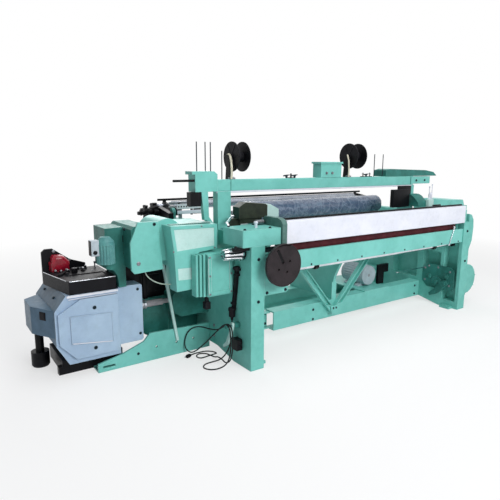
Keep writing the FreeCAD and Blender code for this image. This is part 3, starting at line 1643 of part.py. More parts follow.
def tangent_path(points):
    """Join straight runs by tangent arcs, each as large as its two runs allow."""
    edges = []
    radii = []
    reached = points[0]
    for before, corner, after in zip(points, points[1:], points[2:]):
        coming = before - corner
        going = after - corner
        half_turn = (math.pi - coming.getAngle(going)) / 2
        reach = ARC_SHARE * min(coming.Length, going.Length)
        radius = reach / math.tan(half_turn)
        coming.normalize()
        going.normalize()
        inward = (coming + going).normalize()
        start = corner + coming * reach
        end = corner + going * reach
        middle = corner + inward * (radius / math.cos(half_turn) - radius)
        edges.append(Part.LineSegment(reached, start).toShape())
        edges.append(Part.Arc(start, middle, end).toShape())
        radii.append(radius)
        reached = end
    edges.append(Part.LineSegment(reached, points[-1]).toShape())
    return Part.Wire(edges), radii


def self_gap(wire, radius):
    """Measure the least gap of a tube to itself on points along its middle line."""
    step = 4
    apart = 15
    points = wire.discretize(Distance=step)
    least = min(points[i].distanceToPoint(point)
                for i in range(len(points)) for point in points[i + apart:])
    return least - 2 * radius


def tube(name, places, radius):
    """Sweep a round section along a route given from the left frame, the front and the floor."""
    points = []
    for offset, setback, height in places:
        place_x = across(offset).number
        place_y = behind(setback).number
        points.append(FreeCAD.Vector(place_x, place_y, size(height).number))
    wire, radii = tangent_path(points)
    ring = Part.Circle(points[0], points[1] - points[0], radius).toShape()
    solid = wire.makePipeShell([Part.Wire([ring])], True, False)
    thing = doc.addObject("Part::Feature", name)
    thing.Shape = solid
    share = solid.Volume / (math.pi * radius ** 2 * wire.Length)
    print(f"{name}: {wire.Length:.0f} long, volume {share:.4f} of section by length,",
          f"least self gap {self_gap(wire, radius):.1f}")
    print("  radii", " ".join(f"{value:.0f}" for value in radii))
    return keep(name, thing)


over_pin = pedal_z + S.pedal_pin + S.cable_radius + 0.6
on_floor = S.cable_radius
pin_near = S.pedal_setback - 36
pin_far = S.pedal_setback + 34
plug_place = (-230, 490, 15)
CABLE_ROUTE = (
    # down from the connector to the floor
    (-28, S.connector_setback, S.connector_base), (-28, 212, 262), (-31, 224, 170), (-40, 248, 84),
    (-84, 276, 18),
    # round in front of the frame and up over the pin
    (-148, 300, on_floor), (-216, 298, on_floor), (-262, 250, on_floor), (-240, 190, on_floor),
    (-180, 158, 8), (-126, 134, 36), (-105, 116, 104), (-102, 108, 216),
    (-103, pin_near, over_pin), (-103, pin_far, over_pin),
    # down behind to the floor, then the large loop leaning on the base rail
    (-112, 256, 276), (-132, 334, 196), (-156, 410, 116), (-184, 478, 46), (-212, 538, 8),
    (-238, 582, 44), (-234, 591, 112), (-206, 588, 174), (-150, 583, 204), (-102, 536, 208),
    (-90, 452, 214), (-88, 340, 236), (-87, 250, 282),
    # back over the pin, down in front and over the first run
    (-88, pin_far, over_pin), (-88, pin_near, over_pin), (-85, 108, 250), (-84, 112, 140),
    (-88, 140, 52), (-95, 196, 18), (-98, 244, 36), (-98, 306, 34), (-95, 352, 12),
    # small loop on the floor and out to the plug
    (-96, 416, on_floor), (-110, 474, on_floor), (-160, 500, on_floor), (-206, 462, on_floor),
    (-196, 400, 8), (-140, 378, 24), (-76, 384, 24), (-36, 420, 8), (-42, 476, on_floor),
    (-88, 516, on_floor), (-146, 512, 8), (-192, 500, 15), plug_place)
tube("power_cable", CABLE_ROUTE, S.cable_radius.number)

plug = body("cable_plug", across(plug_place[0]), behind(plug_place[1]), plug_place[2])
plug_radius = 15
plug_length = 48
revolve(plug, "X", [
    (0, 0), (0, 7), (16, plug_radius), (plug_length, plug_radius), (plug_length, 0)])
extrude(plug, "end", plug_length, 18, (-6, 0, 2.4), (6, 0, 2.4))
last_run_x = plug_place[0] - CABLE_ROUTE[-2][0]
last_run_y = plug_place[1] - CABLE_ROUTE[-2][1]
plug.Placement.Rotation = FreeCAD.Rotation(AXES["Z"], math.degrees(math.atan2(last_run_y, last_run_x)))

chin_face = housing_left + 36
OIL_ROUTE = (
    (-600, 470, S.drive_box_base), (-599, 466, 735), (-584, 452, 700), (-552, 430, 670),
    (-508, 408, 650), (-464, 394, 642), (chin_face, 390, 640))
tube("oil_line", OIL_ROUTE, S.rod_radius.number)


# ---------------------------------------------------------------- checks and export
def finish():
    """Check every feature and sub-part, then write one file for each sub-part."""
    doc.recompute()
    for thing in doc.Objects:
        bad = [word for word in thing.State if word in ("Invalid", "Error")]
        if bad:
            raise RuntimeError(f"{thing.Name}: {bad}")
    for name, thing in subparts.items():
        shape = thing.Shape
        if shape.isNull() or not shape.isValid():
            raise RuntimeError(f"{name} has no valid shape")
        shape.exportStep(f"parts/{name}.step")
    print(len(subparts), "sub-parts written")


finish()
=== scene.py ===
"""Dresses the rapier power loom: paint, steel, film, fasteners and the loose power cable.

Lengths in the classes are millimetres from the left frame's outer face, from the front
faces of the posts and from the floor. `spot` turns them into Blender's metres.
"""

import itertools
import logging
import math
from dataclasses import dataclass, field
from enum import Enum

import bmesh
import bpy
from mathutils import Matrix, Vector, noise

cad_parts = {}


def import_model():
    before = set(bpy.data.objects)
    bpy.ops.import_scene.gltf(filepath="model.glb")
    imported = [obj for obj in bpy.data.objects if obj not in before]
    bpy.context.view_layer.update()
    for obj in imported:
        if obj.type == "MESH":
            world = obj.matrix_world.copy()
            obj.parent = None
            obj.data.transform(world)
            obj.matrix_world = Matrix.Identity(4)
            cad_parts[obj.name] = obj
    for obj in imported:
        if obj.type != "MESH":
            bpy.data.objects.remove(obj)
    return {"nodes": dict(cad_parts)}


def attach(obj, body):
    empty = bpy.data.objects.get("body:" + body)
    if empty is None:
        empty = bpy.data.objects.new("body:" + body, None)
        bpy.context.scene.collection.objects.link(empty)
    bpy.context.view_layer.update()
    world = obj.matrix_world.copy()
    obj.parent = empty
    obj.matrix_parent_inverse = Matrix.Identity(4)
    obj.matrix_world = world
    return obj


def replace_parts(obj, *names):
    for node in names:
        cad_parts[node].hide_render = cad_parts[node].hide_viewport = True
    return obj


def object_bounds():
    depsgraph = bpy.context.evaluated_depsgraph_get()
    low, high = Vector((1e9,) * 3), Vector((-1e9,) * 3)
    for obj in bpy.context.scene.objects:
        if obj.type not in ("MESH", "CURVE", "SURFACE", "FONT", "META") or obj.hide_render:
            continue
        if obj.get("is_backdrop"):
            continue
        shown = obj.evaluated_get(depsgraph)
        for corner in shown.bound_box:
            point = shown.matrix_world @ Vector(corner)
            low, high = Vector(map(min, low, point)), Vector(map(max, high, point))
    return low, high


LOG = logging.getLogger("loom")
Flat = tuple[float, float]
Point = tuple[float, float, float]
Box = tuple[Point, Point, float]
Tree = bpy.types.NodeTree
Feed = bpy.types.Node | bpy.types.NodeSocket
MM = 1000.0
FULL_TURN = 2 * math.pi
FRAME_LEFT = 1380.0
FRAME_FRONT = 750.0
TAKE_UP_Y = 110.0
TAKE_UP_Z = 870.0


def spot(x: float, y: float, z: float) -> Vector:
    """Returns the place of a loom point in metres."""
    return Vector(((x - FRAME_LEFT) / MM, (y - FRAME_FRONT) / MM, z / MM))


def linear(code: str) -> tuple[float, float, float, float]:
    """Turns an sRGB hex colour into linear light.

    Args:
        code: Six hex digits after a hash.

    Returns:
        Red, green, blue and an alpha of 1.
    """
    parts = [int(code[i:i + 2], 16) / 255 for i in (1, 3, 5)]
    red, green, blue = (p / 12.92 if p <= 0.04045 else ((p + 0.055) / 1.055) ** 2.4 for p in parts)
    return red, green, blue, 1.0


def add(tree: Tree, kind: str, settings: dict | None = None, **sockets: object) -> bpy.types.Node:
    """Adds one node with its settings, and feeds its sockets with values or links.

    Args:
        tree: The node tree.
        kind: Blender's name of the node type, without its common start.
        settings: Attributes of the node.
        sockets: Values by input name, with underscores for spaces, or by place, as i0 and i1.
            A node given as a value links its first output that is in use.

    Returns:
        The new node.
    """
    node = tree.nodes.new("ShaderNode" + kind)
    for key, value in (settings or {}).items():
        setattr(node, key, value)
    for key, value in sockets.items():
        place = int(key[1:]) if key[1:].isdigit() else key.replace("_", " ")
        if isinstance(value, bpy.types.Node):
            value = next(output for output in value.outputs if output.enabled)
        if isinstance(value, bpy.types.NodeSocket):
            tree.links.new(value, node.inputs[place])
        else:
            node.inputs[place].default_value = value
    return node


def bare_tree(owner: bpy.types.Material | bpy.types.World) -> Tree:
    """Empties the nodes of a material or a world.

    Args:
        owner: The material or the world.

    Returns:
        Its empty node tree.
    """
    owner.use_nodes = True
    owner.node_tree.nodes.clear()
    return owner.node_tree


def show(name: str, data: bpy.types.ID) -> bpy.types.Object:
    """Puts a new object into the scene.

    Args:
        name: The object's name.
        data: Its mesh, curve, lamp or camera.

    Returns:
        The object.
    """
    made = bpy.data.objects.new(name, data)
    bpy.context.scene.collection.objects.link(made)
    return made


# ---------------------------------------------------------------- finishes
@dataclass(frozen=True)
class Finish:
    """A surface that is the same stuff all over, with its clouding and grain, and edges lightened partly for
    wear and partly as painted highlight.

    Scales are millimetres on the real loom.
    """
    name: str
    slot: str
    colour: str
    shade: str
    worn_and_highlit: str
    roughness: float
    metallic: float = 0.0
    spread: float = 0.08
    cloud_mm: float = 180.0
    grain_mm: float = 6.0
    grain: float = 0.12
    wear_and_highlight: float = 0.5
    edge_mm: float = 5.0
    coat: float = 0.0
    specular: float = 0.28

    SPECKS_IN_CLOUD = 5
    DIRT = "#A3A6A0"
    DIRT_SHARE = 0.16
    SMOOTHEST = 0.03
    RELIEF_M = 0.0012
    METAL_FROM = 0.6
    METAL_SPECULAR = 0.5

    def relief(self, tree: Tree, coords: Feed) -> Feed:
        """Makes the height pattern for the bump.

        Args:
            tree: The material's nodes.
            coords: Places on the loom, in metres.

        Returns:
            The heights.
        """
        return add(tree, "TexNoise", Vector=coords, Scale=MM / self.grain_mm, Detail=3.0)

    def tint(self, tree: Tree, coords: Feed, colour: Feed) -> Feed:
        """Lays this finish's own pattern over its colour; a plain finish has none.

        Args:
            tree: The material's nodes.
            coords: Places on the loom, in metres.
            colour: The clouded colour.

        Returns:
            The colour with the pattern.
        """
        return colour

    def _clouded(self, tree: Tree, coords: Feed, specks: Feed) -> Feed:
        """Mixes the two shades in soft clouds and dulls them with fine dirt.

        Args:
            tree: The material's nodes.
            coords: Places on the loom, in metres.
            specks: The fine pattern of the dirt.

        Returns:
            The colour.
        """
        clouds = add(tree, "TexNoise", Vector=coords, Scale=MM / self.cloud_mm, Detail=5.0, Roughness=0.62)
        share = add(tree, "MapRange", Value=clouds, i1=0.38, i2=0.64)
        body = add(tree, "Mix", {"data_type": "RGBA"}, i0=share, i6=linear(self.colour),
                   i7=linear(self.shade))
        dirt = add(tree, "MapRange", Value=specks, i1=0.5, i2=0.75, i3=0.0, i4=self.DIRT_SHARE)
        return add(tree, "Mix", {"data_type": "RGBA", "blend_type": "MULTIPLY"}, i0=dirt, i6=body,
                   i7=linear(self.DIRT))

    def _worn_and_highlit_edges(self, tree: Tree, rounded: Feed, specks: Feed) -> Feed:
        """Finds the edges and lightens them, partly for rubbed wear and partly as painted highlight, broken
        up by the specks.

        Args:
            tree: The material's nodes.
            rounded: Normals as if the edges were rounded.
            specks: The fine pattern that breaks the lightened edge line.

        Returns:
            The share of surface that is lightened for wear and painted highlight.
        """
        normal = add(tree, "NewGeometry").outputs["Normal"]
        turned = add(tree, "VectorMath", {"operation": "DOT_PRODUCT"}, i0=rounded, i1=normal)
        edge = add(tree, "MapRange", Value=turned, i1=0.995, i2=0.86, i3=0.0, i4=self.wear_and_highlight)
        chips = add(tree, "MapRange", Value=specks, i1=0.36, i2=0.56)
        return add(tree, "Math", {"operation": "MULTIPLY", "use_clamp": True}, i0=edge, i1=chips)

    def build(self) -> bpy.types.Material:
        """Makes the Blender material of this finish, once.

        Returns:
            The material.
        """
        known = bpy.data.materials.get(self.name)
        if known:
            return known
        material = bpy.data.materials.new(self.name)
        tree = bare_tree(material)
        coords = add(tree, "TexCoord").outputs["Object"]
        specks = add(tree, "TexNoise", Vector=coords, Scale=MM / (self.cloud_mm / self.SPECKS_IN_CLOUD),
                     Detail=7.0, Roughness=0.7)
        rounded = add(tree, "Bevel", {"samples": 4}, Radius=self.edge_mm / MM)
        body = self.tint(tree, coords, self._clouded(tree, coords, specks))
        # Edges take a lighter colour: partly rubbed wear, partly painted highlight.
        colour = add(tree, "Mix", {"data_type": "RGBA"}, i0=self._worn_and_highlit_edges(tree, rounded, specks), i6=body,
                     i7=linear(self.worn_and_highlit))
        rough = add(tree, "MapRange", Value=specks, i1=0.3, i2=0.7,
                    i3=max(self.SMOOTHEST, self.roughness - self.spread), i4=self.roughness + self.spread)
        bump = add(tree, "Bump", Strength=self.grain, Distance=self.RELIEF_M, Normal=rounded,
                   Height=self.relief(tree, coords))
        specular = self.METAL_SPECULAR if self.metallic > self.METAL_FROM else self.specular
        shader = add(tree, "BsdfPrincipled", Base_Color=colour, Roughness=rough, Metallic=self.metallic,
                     Coat_Weight=self.coat, Specular_IOR_Level=specular, Normal=bump)
        add(tree, "OutputMaterial", Surface=shader)
        return material


@dataclass(frozen=True)
class BrushedSteel(Finish):
    """Turned or drawn steel: the tool marks run round the bar and stretch the highlights."""
    marks_mm: float = 2.0
    length_mm: float = 25.0

    def relief(self, tree: Tree, coords: Feed) -> Feed:
        """Makes marks that are close together along the loom's width and long across it.

        Args:
            tree: The material's nodes.
            coords: Places on the loom, in metres.

        Returns:
            The heights.
        """
        squeeze = (MM / self.marks_mm, MM / self.length_mm, MM / self.length_mm)
        drawn = add(tree, "Mapping", Vector=coords, Scale=squeeze)
        return add(tree, "TexNoise", Vector=drawn, Scale=1.0, Detail=4.0)


@dataclass(frozen=True)
class FlutedSteel(BrushedSteel):
    """Chromed hand knob: bright ribs, with painted shade along the flutes between them."""
    flutes: int = 8
    flute_shade: str = "#1E262C"

    def tint(self, tree: Tree, coords: Feed, colour: Feed) -> Feed:
        """Lays a dark band of painted shade along each flute.

        Args:
            tree: The material's nodes.
            coords: Places on the loom, in metres.
            colour: The steel's colour.

        Returns:
            The steel with painted shade in its flutes.
        """
        centre = spot(0, TAKE_UP_Y, TAKE_UP_Z)
        axes = add(tree, "SeparateXYZ", Vector=coords)
        y = add(tree, "Math", {"operation": "SUBTRACT"}, i0=axes.outputs["Y"], i1=centre.y)
        z = add(tree, "Math", {"operation": "SUBTRACT"}, i0=axes.outputs["Z"], i1=centre.z)
        turn = add(tree, "Math", {"operation": "ARCTAN2"}, i0=z, i1=y)
        phase = add(tree, "Math", {"operation": "MULTIPLY"}, i0=turn, i1=float(self.flutes))
        wave = add(tree, "Math", {"operation": "COSINE"}, i0=phase)
        # Painted shade darkens each flute.
        share = add(tree, "MapRange", Value=wave, i1=0.1, i2=-0.4, i3=0.0, i4=0.93)
        return add(tree, "Mix", {"data_type": "RGBA"}, i0=share, i6=colour, i7=linear(self.flute_shade))


@dataclass(frozen=True)
class StretchFilm(Finish):
    """Polyethylene stretch film wound over a roll: glossy creases that catch white lights."""
    crease_mm: float = 60.0
    bend_mm: float = 111.11
    folds_and_highlights: str = "#A9B6CC"

    def relief(self, tree: Tree, coords: Feed) -> Feed:
        """Makes thin ridges where wound layers of film fold.

        Args:
            tree: The material's nodes.
            coords: Places on the loom, in metres.

        Returns:
            The heights.
        """
        bent = add(tree, "TexNoise", Vector=coords, Scale=MM / self.bend_mm, Detail=4.0)
        moved = add(tree, "Mix", {"data_type": "VECTOR"}, i0=0.22, i4=coords, i5=bent.outputs["Color"])
        drawn = add(tree, "Mapping", Vector=moved, Rotation=(0.0, 0.3, 0.5), Scale=(1.0, 0.35, 0.6))
        cells = add(tree, "TexVoronoi", {"feature": "DISTANCE_TO_EDGE"}, Vector=drawn,
                    Scale=MM / self.crease_mm)
        return add(tree, "MapRange", Value=cells, i1=0.0, i2=0.11, i3=1.0, i4=0.0)

    def tint(self, tree: Tree, coords: Feed, colour: Feed) -> Feed:
        """Lays a pale colour on the creases, partly the film's milky folds and partly painted highlight.

        Args:
            tree: The material's nodes.
            coords: Places on the loom, in metres.
            colour: The cloth's colour.

        Returns:
            The colour with the folds.
        """
        # Pale creases: partly milky film, partly painted highlight.
        share = add(tree, "Math", {"operation": "MULTIPLY"}, i0=self.relief(tree, coords), i1=0.36)
        return add(tree, "Mix", {"data_type": "RGBA"}, i0=share, i6=colour, i7=linear(self.folds_and_highlights))


@dataclass(frozen=True)
class ReedWires(Finish):
    """Flat steel dents soldered between two baulks, drawn 19 mm apart so that they show."""
    pitch_mm: float = 18.85
    gap_shade: str = "#22262A"

    WAVE_MM = math.pi * 100

    def relief(self, tree: Tree, coords: Feed) -> Feed:
        """Makes upright ribs at the pitch of the dents; a wave is WAVE_MM long at scale 1.

        Args:
            tree: The material's nodes.
            coords: Places on the loom, in metres.

        Returns:
            The heights.
        """
        bands = add(tree, "TexWave", {"bands_direction": "X", "wave_profile": "SIN"}, Vector=coords,
                    Scale=self.WAVE_MM / self.pitch_mm)
        return bands.outputs["Fac"]

    def tint(self, tree: Tree, coords: Feed, colour: Feed) -> Feed:
        """Darkens the gaps between the dents as painted shade.

        Args:
            tree: The material's nodes.
            coords: Places on the loom, in metres.
            colour: The steel's colour.

        Returns:
            The steel with painted shade in its gaps.
        """
        # The gaps between the dents are painted dark as shade.
        gap = add(tree, "MapRange", Value=self.relief(tree, coords), i1=0.35, i2=0.6, i3=0.7, i4=0.0)
        return add(tree, "Mix", {"data_type": "RGBA"}, i0=gap, i6=colour, i7=linear(self.gap_shade))


@dataclass(frozen=True)
class Perforated(Finish):
    """Stove-enamelled strip with round holes punched every 26 mm."""
    pitch_mm: float = 26.0
    hole_mm: float = 15.0
    middle_z: float = 1117.0
    hole_shade: str = "#15171A"

    def tint(self, tree: Tree, coords: Feed, colour: Feed) -> Feed:
        """Darkens each hole as painted shade.

        Args:
            tree: The material's nodes.
            coords: Places on the loom, in metres.
            colour: The enamel's colour.

        Returns:
            The enamel with its holes.
        """
        axes = add(tree, "SeparateXYZ", Vector=coords)
        along = add(tree, "Math", {"operation": "PINGPONG"}, i0=axes.outputs["X"], i1=self.pitch_mm / MM / 2)
        from_hole = add(tree, "Math", {"operation": "SUBTRACT"}, i0=axes.outputs["Z"], i1=self.middle_z / MM)
        across = add(tree, "CombineXYZ", X=along, Z=from_hole)
        away = add(tree, "VectorMath", {"operation": "LENGTH"}, i0=across)
        radius = self.hole_mm / MM / 2
        # Each hole is painted dark as shade.
        hole = add(tree, "MapRange", Value=away, i1=radius, i2=radius * 0.85)
        return add(tree, "Mix", {"data_type": "RGBA"}, i0=hole, i6=colour, i7=linear(self.hole_shade))


# Machine enamel sprayed on castings and plate: semi-gloss, a little cloudy, lighter on the
# edges for wear and as painted highlight, with orange peel of about 5 mm and the sand grain under it.
MINT = Finish("mint_enamel", "mint_paint", "#7ECDC4", "#71C1B7", "#B8E8E1", 0.36,
              cloud_mm=260, grain_mm=5, grain=0.10, wear_and_highlight=0.55, coat=0.03)
MINT_CAST = Finish("mint_enamel_on_casting", "mint_paint", "#77C7BD", "#66B7AC", "#ABDFD7", 0.42,
                   cloud_mm=200, grain_mm=9, grain=0.22, wear_and_highlight=0.5)
PALE_PANEL = Finish("pale_mint_panel", "mint_paint", "#C9E8E4", "#BADFD9", "#E4F6F3", 0.30,
                    cloud_mm=160, grain_mm=5, grain=0.08, wear_and_highlight=0.4, coat=0.04)
DEEP_GREEN = Finish("deep_green_enamel", "deep_green_paint", "#357F77", "#27675F", "#6CB2A9", 0.45,
                    cloud_mm=120, grain_mm=8, grain=0.22, wear_and_highlight=0.6)
MOTOR_BLUE = Finish("blue_green_motor_enamel", "deep_green_paint", "#5E9C9A", "#4B8686", "#9CC9C6", 0.40,
                    cloud_mm=90, grain_mm=5, grain=0.15)
# Stove enamel on the dobby's pressed steel covers: even, cool, with a soft sheen.
BLUE_GREY = Finish("blue_grey_stove_enamel", "blue_grey_paint", "#B0C8DE", "#A3BBD4", "#DDE9F4", 0.34,
                   cloud_mm=240, grain_mm=4, grain=0.08, wear_and_highlight=0.6, coat=0.03)
# A darker copy of the blue grey for the dobby shell's sides: painted shade.
BLUE_GREY_SHADED = Finish("blue_grey_painted_shade", "blue_grey_paint", "#54728A", "#456073", "#93ACBF", 0.42,
                   cloud_mm=200, grain_mm=5, grain=0.12, wear_and_highlight=0.5)
# Black paint and moulded black plastic: the paint shines a little, the plastic has a fine grain.
BLACK_PAINT = Finish("black_enamel", "black_paint", "#121317", "#0A0B0D", "#4A4D54", 0.38,
                     cloud_mm=90, grain_mm=5, grain=0.15, wear_and_highlight=0.4, specular=0.14)
BLACK_PLASTIC = Finish("moulded_black_abs", "black_plastic", "#15151A", "#0C0C10", "#3C3D45", 0.46,
                       cloud_mm=70, grain_mm=2.5, grain=0.25, wear_and_highlight=0.3, specular=0.14)
RED_PLASTIC = Finish("moulded_red_abs", "red_plastic", "#B01C34", "#8F1329", "#E0627A", 0.24,
                     cloud_mm=40, grain_mm=3, grain=0.10, wear_and_highlight=0.5, coat=0.3)
WHITE_BOARD = Finish("white_powder_coat", "white_paint", "#EBEDF6", "#E1E4F0", "#F8F9FC", 0.33,
                     cloud_mm=300, grain_mm=4, grain=0.07, wear_and_highlight=0.4, coat=0.02)
GREY_MOTOR = Finish("grey_motor_enamel", "grey_paint", "#BCC8D0", "#A8B5BE", "#E2EAEE", 0.42,
                    cloud_mm=90, grain_mm=6, grain=0.18)
SHAFT_GREY = Finish("rubbed_grey_primer", "cream_paint", "#B0ABAD", "#99949A", "#D6D3D5", 0.42,
                    cloud_mm=60, grain_mm=4, grain=0.12)
CREAM = Finish("cream_enamel", "cream_paint", "#DAD5C2", "#C6C0A9", "#F1EEE2", 0.42,
               cloud_mm=70, grain_mm=4, grain=0.12)
# Steel: ground and polished bar, turned shafts, and zinc-plated bolt heads.
BRIGHT_STEEL = BrushedSteel("polished_steel_bar", "bright_steel", "#E2E5EA", "#CDD1D8", "#FFFFFF", 0.16,
                            metallic=1.0, spread=0.05, cloud_mm=140, grain=0.03, wear_and_highlight=0.2, marks_mm=3)
FLUTED_STEEL = FlutedSteel("chromed_fluted_knob", "bright_steel", "#E8EAEE", "#D5D8DE", "#FFFFFF", 0.14,
                           metallic=1.0, spread=0.05, cloud_mm=60, grain=0.03, wear_and_highlight=0.1, marks_mm=3)
ROLLER_STEEL = BrushedSteel("ground_steel_roller", "bright_steel", "#A9AEB8", "#8F95A1", "#E6E8EC", 0.26,
                            metallic=0.9, spread=0.04, cloud_mm=240, grain=0.015, wear_and_highlight=0.1, marks_mm=9)
PLAIN_STEEL = BrushedSteel("turned_steel", "plain_steel", "#A4A7AD", "#8E9197", "#D5D8DC", 0.34,
                           metallic=1.0, cloud_mm=90, grain=0.08, wear_and_highlight=0.3, marks_mm=2)
ZINC_BOLT = Finish("zinc_plated_steel", "plain_steel", "#8F9297", "#74777C", "#C9CCD0", 0.36,
                   metallic=1.0, cloud_mm=14, grain_mm=3, grain=0.1, wear_and_highlight=0.4, edge_mm=1)
BLACK_BOLT = Finish("blackened_steel_bolt", "black_paint", "#1B2B33", "#122026", "#5D717A", 0.42,
                    metallic=0.2, specular=0.2, cloud_mm=14, grain_mm=3, grain=0.12, wear_and_highlight=0.4, edge_mm=1)
DARK_IRON = Finish("browned_cast_iron", "dark_iron", "#302A2D", "#252023", "#675C5F", 0.5,
                   specular=0.16, cloud_mm=80, grain_mm=6, grain=0.3, wear_and_highlight=0.6)
REED_STEEL = ReedWires("reed_wires", "plain_steel", "#9DA2A8", "#868B91", "#C9CCD0", 0.32,
                       metallic=1.0, grain=0.35, wear_and_highlight=0.1)
# A darker grey green painted as shade on the board's left end cap, and hammer enamel in olive.
CAP_SHADE_GREEN = Finish("grey_green_cap_shade", "deep_green_paint", "#5B7F79", "#496B66", "#8FB0AA", 0.45,
                    cloud_mm=90, grain_mm=7, grain=0.25, wear_and_highlight=0.5)
OLIVE = Finish("olive_hammer_enamel", "deep_green_paint", "#2F372B", "#20271F", "#6E7864", 0.4,
               cloud_mm=60, grain_mm=9, grain=0.3)
# The take-up roller's rubbed cork-and-rubber cover is dull, with darker patches.
MAROON = Finish("maroon_roller_cover", "maroon_cover", "#58282D", "#451D22", "#7C5054", 0.72, specular=0.12,
                cloud_mm=110, grain_mm=4, grain=0.4, wear_and_highlight=0.15)
# Stretch film over blue cloth shines and hides the weave; the strip's enamel is plain.
FILM = StretchFilm("stretch_film", "film_wrap", "#6A7991", "#51607C", "#AAB6C9", 0.24,
                   cloud_mm=90, grain=0.6, wear_and_highlight=0.1, coat=0.6)
STRIP = Perforated("perforated_strip", "white_paint", "#ECEEF2", "#D9DDE4", "#FFFFFF", 0.35,
                   cloud_mm=80, grain_mm=4, grain=0.08)
# Chloroprene sheath of a mains cable, and the nylon oil pipe.
RUBBER = Finish("cable_sheath_rubber", "cable_rubber", "#1F2425", "#15191A", "#45484B", 0.55, specular=0.2,
                cloud_mm=50, grain_mm=2.5, grain=0.2, wear_and_highlight=0.1, edge_mm=1)
NYLON = Finish("oil_pipe_nylon", "pale_hose", "#B9C8BB", "#A2B3A6", "#DDE7DF", 0.4,
               cloud_mm=30, grain_mm=3, grain=0.08, wear_and_highlight=0.1, edge_mm=1)


# ---------------------------------------------------------------- making a piece
class Axis(Enum):
    """Directions that fasteners and turned pieces face."""
    LEFT = (-1, 0, 0)
    RIGHT = (1, 0, 0)
    FRONT = (0, -1, 0)
    BACK = (0, 1, 0)
    UP = (0, 0, 1)
    DOWN = (0, 0, -1)
    SLOPE_LEFT = (-0.79, 0, 0.61)
    SLANT_FRONT = (-0.876, -0.482, 0)


class Head(Enum):
    """Kinds of fastener head, as (sides, height over radius, socket share)."""
    HEX = (6, 0.62, 0.0)
    SOCKET = (20, 0.85, 0.55)
    DOME = (20, 0.45, 0.0)


def seat(centre: Point, facing: Axis | Point) -> Matrix:
    """Works out how a turned shape is put in place.

    Args:
        centre: Start of its axis, in loom millimetres.
        facing: Way the axis points.

    Returns:
        The matrix that takes it from the origin, with its axis upright.
    """
    way = facing.value if isinstance(facing, Axis) else facing
    turn = Vector(way).normalized().to_track_quat("Z", "Y").to_matrix().to_4x4()
    return Matrix.Translation(spot(*centre)) @ turn


def around(radius: float, turn: float, along: float) -> Vector:
    """Returns the point at a radius, a share of a full turn and a height, in metres."""
    angle = FULL_TURN * turn
    return Vector((radius * math.cos(angle), radius * math.sin(angle), along)) / MM


def grid(x: float | tuple, y: float | tuple, z: float | tuple) -> tuple[Point, ...]:
    """Returns every crossing of one or more places along each axis."""
    spans = [span if isinstance(span, tuple) else (span,) for span in (x, y, z)]
    return tuple(itertools.product(*spans))


